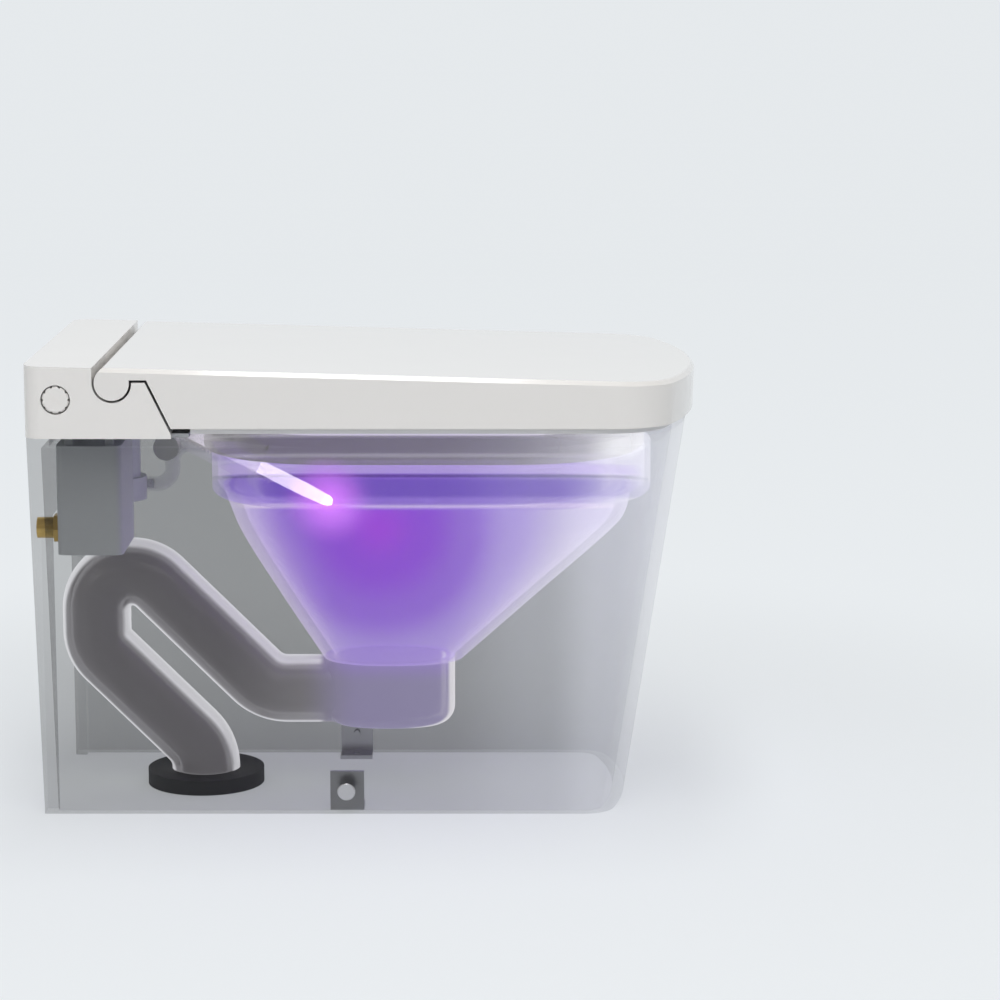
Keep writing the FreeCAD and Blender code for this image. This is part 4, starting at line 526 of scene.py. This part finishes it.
# The siphon as one smooth pipe: rows hold a straight run, the turn after it in degrees and its radius
trapShape = {"start": (-0.0195, 0.099), "outer": 0.035, "inner": 0.027, "sides": 56, "step": 5.0,
             "rows": [(0.1058, 45.0, 0.046), (0.1392, -135.0, 0.038), (0.0226, -45.0, 0.038),
                      (0.1209, 45.0, 0.046), (0.0125, 0.0, 0.0)],
             "socket": 0.030, "socketDeep": 0.010, "overrun": 0.004, "lip": 0.0001}
wellShape = {"front": -0.087, "back": 0.048, "half": 0.05, "bottom": 0.064, "top": 0.134, "wall": 0.009,
             "round": 0.018, "roundSteps": 9, "squareness": 2.4, "sides": 96}


def trapPath(shape):
    # Middle points in the side plane with their headings, from the sump to the floor. On a bend a point is
    # the bend's centre plus its radius times the sine and minus the cosine of the heading
    spot, heading, stations = np.array(shape["start"]), 0.0, []
    for run, turn, radius in shape["rows"]:
        way = np.array([math.cos(heading), math.sin(heading)])
        stations.append([*spot, heading])
        spot = spot + way * run
        stations.append([*spot, heading])
        side = math.copysign(1.0, turn)
        center = spot + side * radius * np.array([-way[1], way[0]])
        turned = heading + side * np.radians(np.arange(shape["step"], abs(turn) + 0.01, shape["step"]))
        bend = center + side * radius * np.stack([np.sin(turned), -np.cos(turned)], 1)
        stations.extend(np.column_stack([bend, turned]).tolist())
        heading += math.radians(turn)
        spot = np.array(stations[-1][:2])
    return np.array(stations)


def closedTube(path, radii, sides):
    # Rings square to the path: x is the radius times the cosine, and the radius times the sine goes along
    # the path's normal
    angle = np.linspace(0, 2 * math.pi, sides, endpoint=False)
    along, lift = radii[:, None] * np.cos(angle), radii[:, None] * np.sin(angle)
    y, z, heading = path[:, 0:1], path[:, 1:2], path[:, 2:3]
    points = np.stack([along, y - lift * np.sin(heading), z + lift * np.cos(heading)], 2)
    return points, cappedFaces(len(path), sides)


def closedWell(shape, inset, bottom, top):
    # Superellipse rings, drawn in towards the bottom by the radius times one minus the sine
    rounding = np.linspace(0, math.pi / 2, shape["roundSteps"])
    radius = shape["round"] - inset
    heights = np.concatenate([bottom + radius * (1 - np.cos(rounding)), [top]])
    drawn = inset + np.concatenate([radius * (1 - np.sin(rounding)), [0.0]])
    cosine, sine = superellipse(shape["sides"], shape["squareness"])
    middle, reach = (shape["front"] + shape["back"]) / 2, (shape["back"] - shape["front"]) / 2
    x = (shape["half"] - drawn)[:, None] * cosine
    y = middle + (reach - drawn)[:, None] * sine
    points = np.stack([x, y, np.repeat(heights[:, None], shape["sides"], 1)], 2)
    return points, cappedFaces(len(heights), shape["sides"])


def trapPiece(shape, well):
    # Well and pipe joined, then both hollows cut out
    path = trapPath(shape)
    outer = np.full(len(path), shape["outer"])
    below = path[-1] + np.array([0.0, -shape["overrun"], 0.0])
    ledge = path[-1] + np.array([0.0, shape["socketDeep"], 0.0])
    hollowPath = np.vstack([path[:-1], ledge, ledge - np.array([0.0, shape["lip"], 0.0]), below])
    hollow = np.full(len(hollowPath), shape["inner"])
    hollow[-2:] = shape["socket"]
    whole = surfaceObject("trapShell", *closedWell(well, 0.0, well["bottom"], well["top"]))
    steps = [("UNION", closedTube(path, outer, shape["sides"])),
             ("DIFFERENCE", closedWell(well, well["wall"], well["bottom"] + well["wall"],
                                       well["top"] + shape["overrun"])),
             ("DIFFERENCE", closedTube(hollowPath, hollow, shape["sides"]))]
    helpers = []
    for number, (operation, surface) in enumerate(steps):
        helper = surfaceObject("trapHelper%d" % number, *surface)
        cut = whole.modifiers.new("cut%d" % number, "BOOLEAN")
        cut.operation = operation
        cut.solver = "EXACT"
        cut.object = helper
        helpers.append(helper)
    graph = bpy.context.evaluated_depsgraph_get()
    finished = bpy.data.meshes.new_from_object(whole.evaluated_get(graph))
    whole.modifiers.clear()
    whole.data = finished
    for helper in helpers:
        bpy.data.objects.remove(helper)
    finished.materials.clear()
    finished.materials.append(finishes["trap_glaze"])
    finished.polygons.foreach_set("material_index", [0] * len(finished.polygons))
    shadeSmooth(finished)
    keepSharp(whole)
    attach(whole, "root")
    print("stage: trap,", len(finished.polygons), "faces")
    return whole


trapShell = trapPiece(trapShape, wellShape)
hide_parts("sump", "trapway")

# Floor, light and camera. The floor curves up into a wall far behind, and glows less near the object, so
# that it keeps the object's shadow
backdropLook = {"color": seen(235, 239, 242), "rough": 0.9, "specular": 0.1,
                "glow": 0.9, "nearGlow": 0.5, "nearReach": 1.2, "nearSoft": 0.6,
                "halfWidth": 14.0, "front": -8.0, "top": 12.0,
                "bendFrom": 5.0, "bendRadius": 3.0, "bendSteps": 12}


def backdropMesh(look):
    # Along the floor, round a quarter circle and up the wall
    across = np.array([-look["halfWidth"], 0.0, look["halfWidth"]])
    bend = np.linspace(0, math.pi / 2, look["bendSteps"])[1:]
    start, radius = look["bendFrom"], look["bendRadius"]
    along = np.concatenate([[look["front"], 0.0, start], start + radius * np.sin(bend), [start + radius]])
    height = np.concatenate([np.zeros(3), radius - radius * np.cos(bend), [look["top"]]])
    points = np.stack(np.broadcast_arrays(along[:, None], across[None, :], height[:, None]), 2)
    columns = len(across)
    faces = [(r * columns + c, (r + 1) * columns + c, (r + 1) * columns + c + 1, r * columns + c + 1)
             for r in range(len(along) - 1) for c in range(columns - 1)]
    return points, faces


def floorFinish(look):
    material = bpy.data.materials.new("paleFloor")
    material.use_nodes = True
    tree = material.node_tree
    shader = tree.nodes["Principled BSDF"]
    shader.inputs["Base Color"].default_value = look["color"]
    shader.inputs["Roughness"].default_value = look["rough"]
    shader.inputs["Specular IOR Level"].default_value = look["specular"]
    glow = tree.nodes.new("ShaderNodeEmission")
    glow.inputs["Color"].default_value = look["color"]
    rays = tree.nodes.new("ShaderNodeLightPath")
    seenRays = mathNode(tree, "MAXIMUM", rays.outputs["Is Camera Ray"], rays.outputs["Is Glossy Ray"])
    seenRays = mathNode(tree, "MAXIMUM", seenRays, rays.outputs["Is Transmission Ray"])
    shrink = tree.nodes.new("ShaderNodeVectorMath")
    shrink.operation = "SCALE"
    tree.links.new(tree.nodes.new("ShaderNodeTexCoord").outputs["Object"], shrink.inputs[0])
    shrink.inputs["Scale"].default_value = 1 / look["nearReach"]
    ball = tree.nodes.new("ShaderNodeTexGradient")
    ball.gradient_type = "SPHERICAL"
    tree.links.new(shrink.outputs[0], ball.inputs["Vector"])
    glowShare = fadeOf(tree, ball.outputs["Fac"], 0.0, look["nearSoft"], look["glow"], look["nearGlow"])
    mix = tree.nodes.new("ShaderNodeMixShader")
    tree.links.new(mathNode(tree, "MULTIPLY", seenRays, glowShare), mix.inputs[0])
    tree.links.new(shader.outputs[0], mix.inputs[1])
    tree.links.new(glow.outputs[0], mix.inputs[2])
    tree.links.new(mix.outputs[0], tree.nodes["Material Output"].inputs["Surface"])
    return material


floor = surfaceObject("backdrop", *backdropMesh(backdropLook))
floor.data.materials.append(floorFinish(backdropLook))

worldLook = {"color": seen(255, 253, 250), "strength": 0.46}
world = bpy.data.worlds.new("studio")
bpy.context.scene.world = world
world.use_nodes = True
world.node_tree.nodes["Background"].inputs["Color"].default_value = worldLook["color"]
world.node_tree.nodes["Background"].inputs["Strength"].default_value = worldLook["strength"]

lamps = {
    "key": {"place": (-2.6, -1.4, 2.6), "size": (2.4, 1.2), "power": 22.0},
    "fill": {"place": (-2.2, 2.2, 1.6), "size": (2.0, 1.4), "power": 8.0},
    "top": {"place": (-0.62, 0.0, 3.0), "size": (0.6, 3.2), "power": 40.0},
}
lookAt = Vector((0.0, 0.0, 0.25))
for name, lamp in lamps.items():
    light = bpy.data.lights.new(name, "AREA")
    light.shape = "RECTANGLE"
    light.size, light.size_y = lamp["size"]
    light.energy = lamp["power"]
    holder = addObject(name, light)
    holder.location = lamp["place"]
    holder.rotation_euler = (lookAt - holder.location).to_track_quat("-Z", "Y").to_euler()

view = {"aim": (-0.195, -0.1335, 0.331), "distance": 3.0, "elevation": 10.0, "lens": 112.3, "sensor": 36.0}
camera = bpy.data.cameras.new("camera")
camera.lens = view["lens"]
camera.sensor_width = view["sensor"]
cameraHolder = addObject("camera", camera)
tilt = math.radians(view["elevation"])
toCamera = Vector((-math.cos(tilt), 0.0, math.sin(tilt)))
cameraHolder.location = Vector(view["aim"]) + toCamera * view["distance"]
cameraHolder.rotation_euler = (-toCamera).to_track_quat("-Z", "Y").to_euler()
bpy.context.scene.camera = cameraHolder
bpy.context.scene.view_settings.view_transform = "Standard"
print("stage: light and camera")
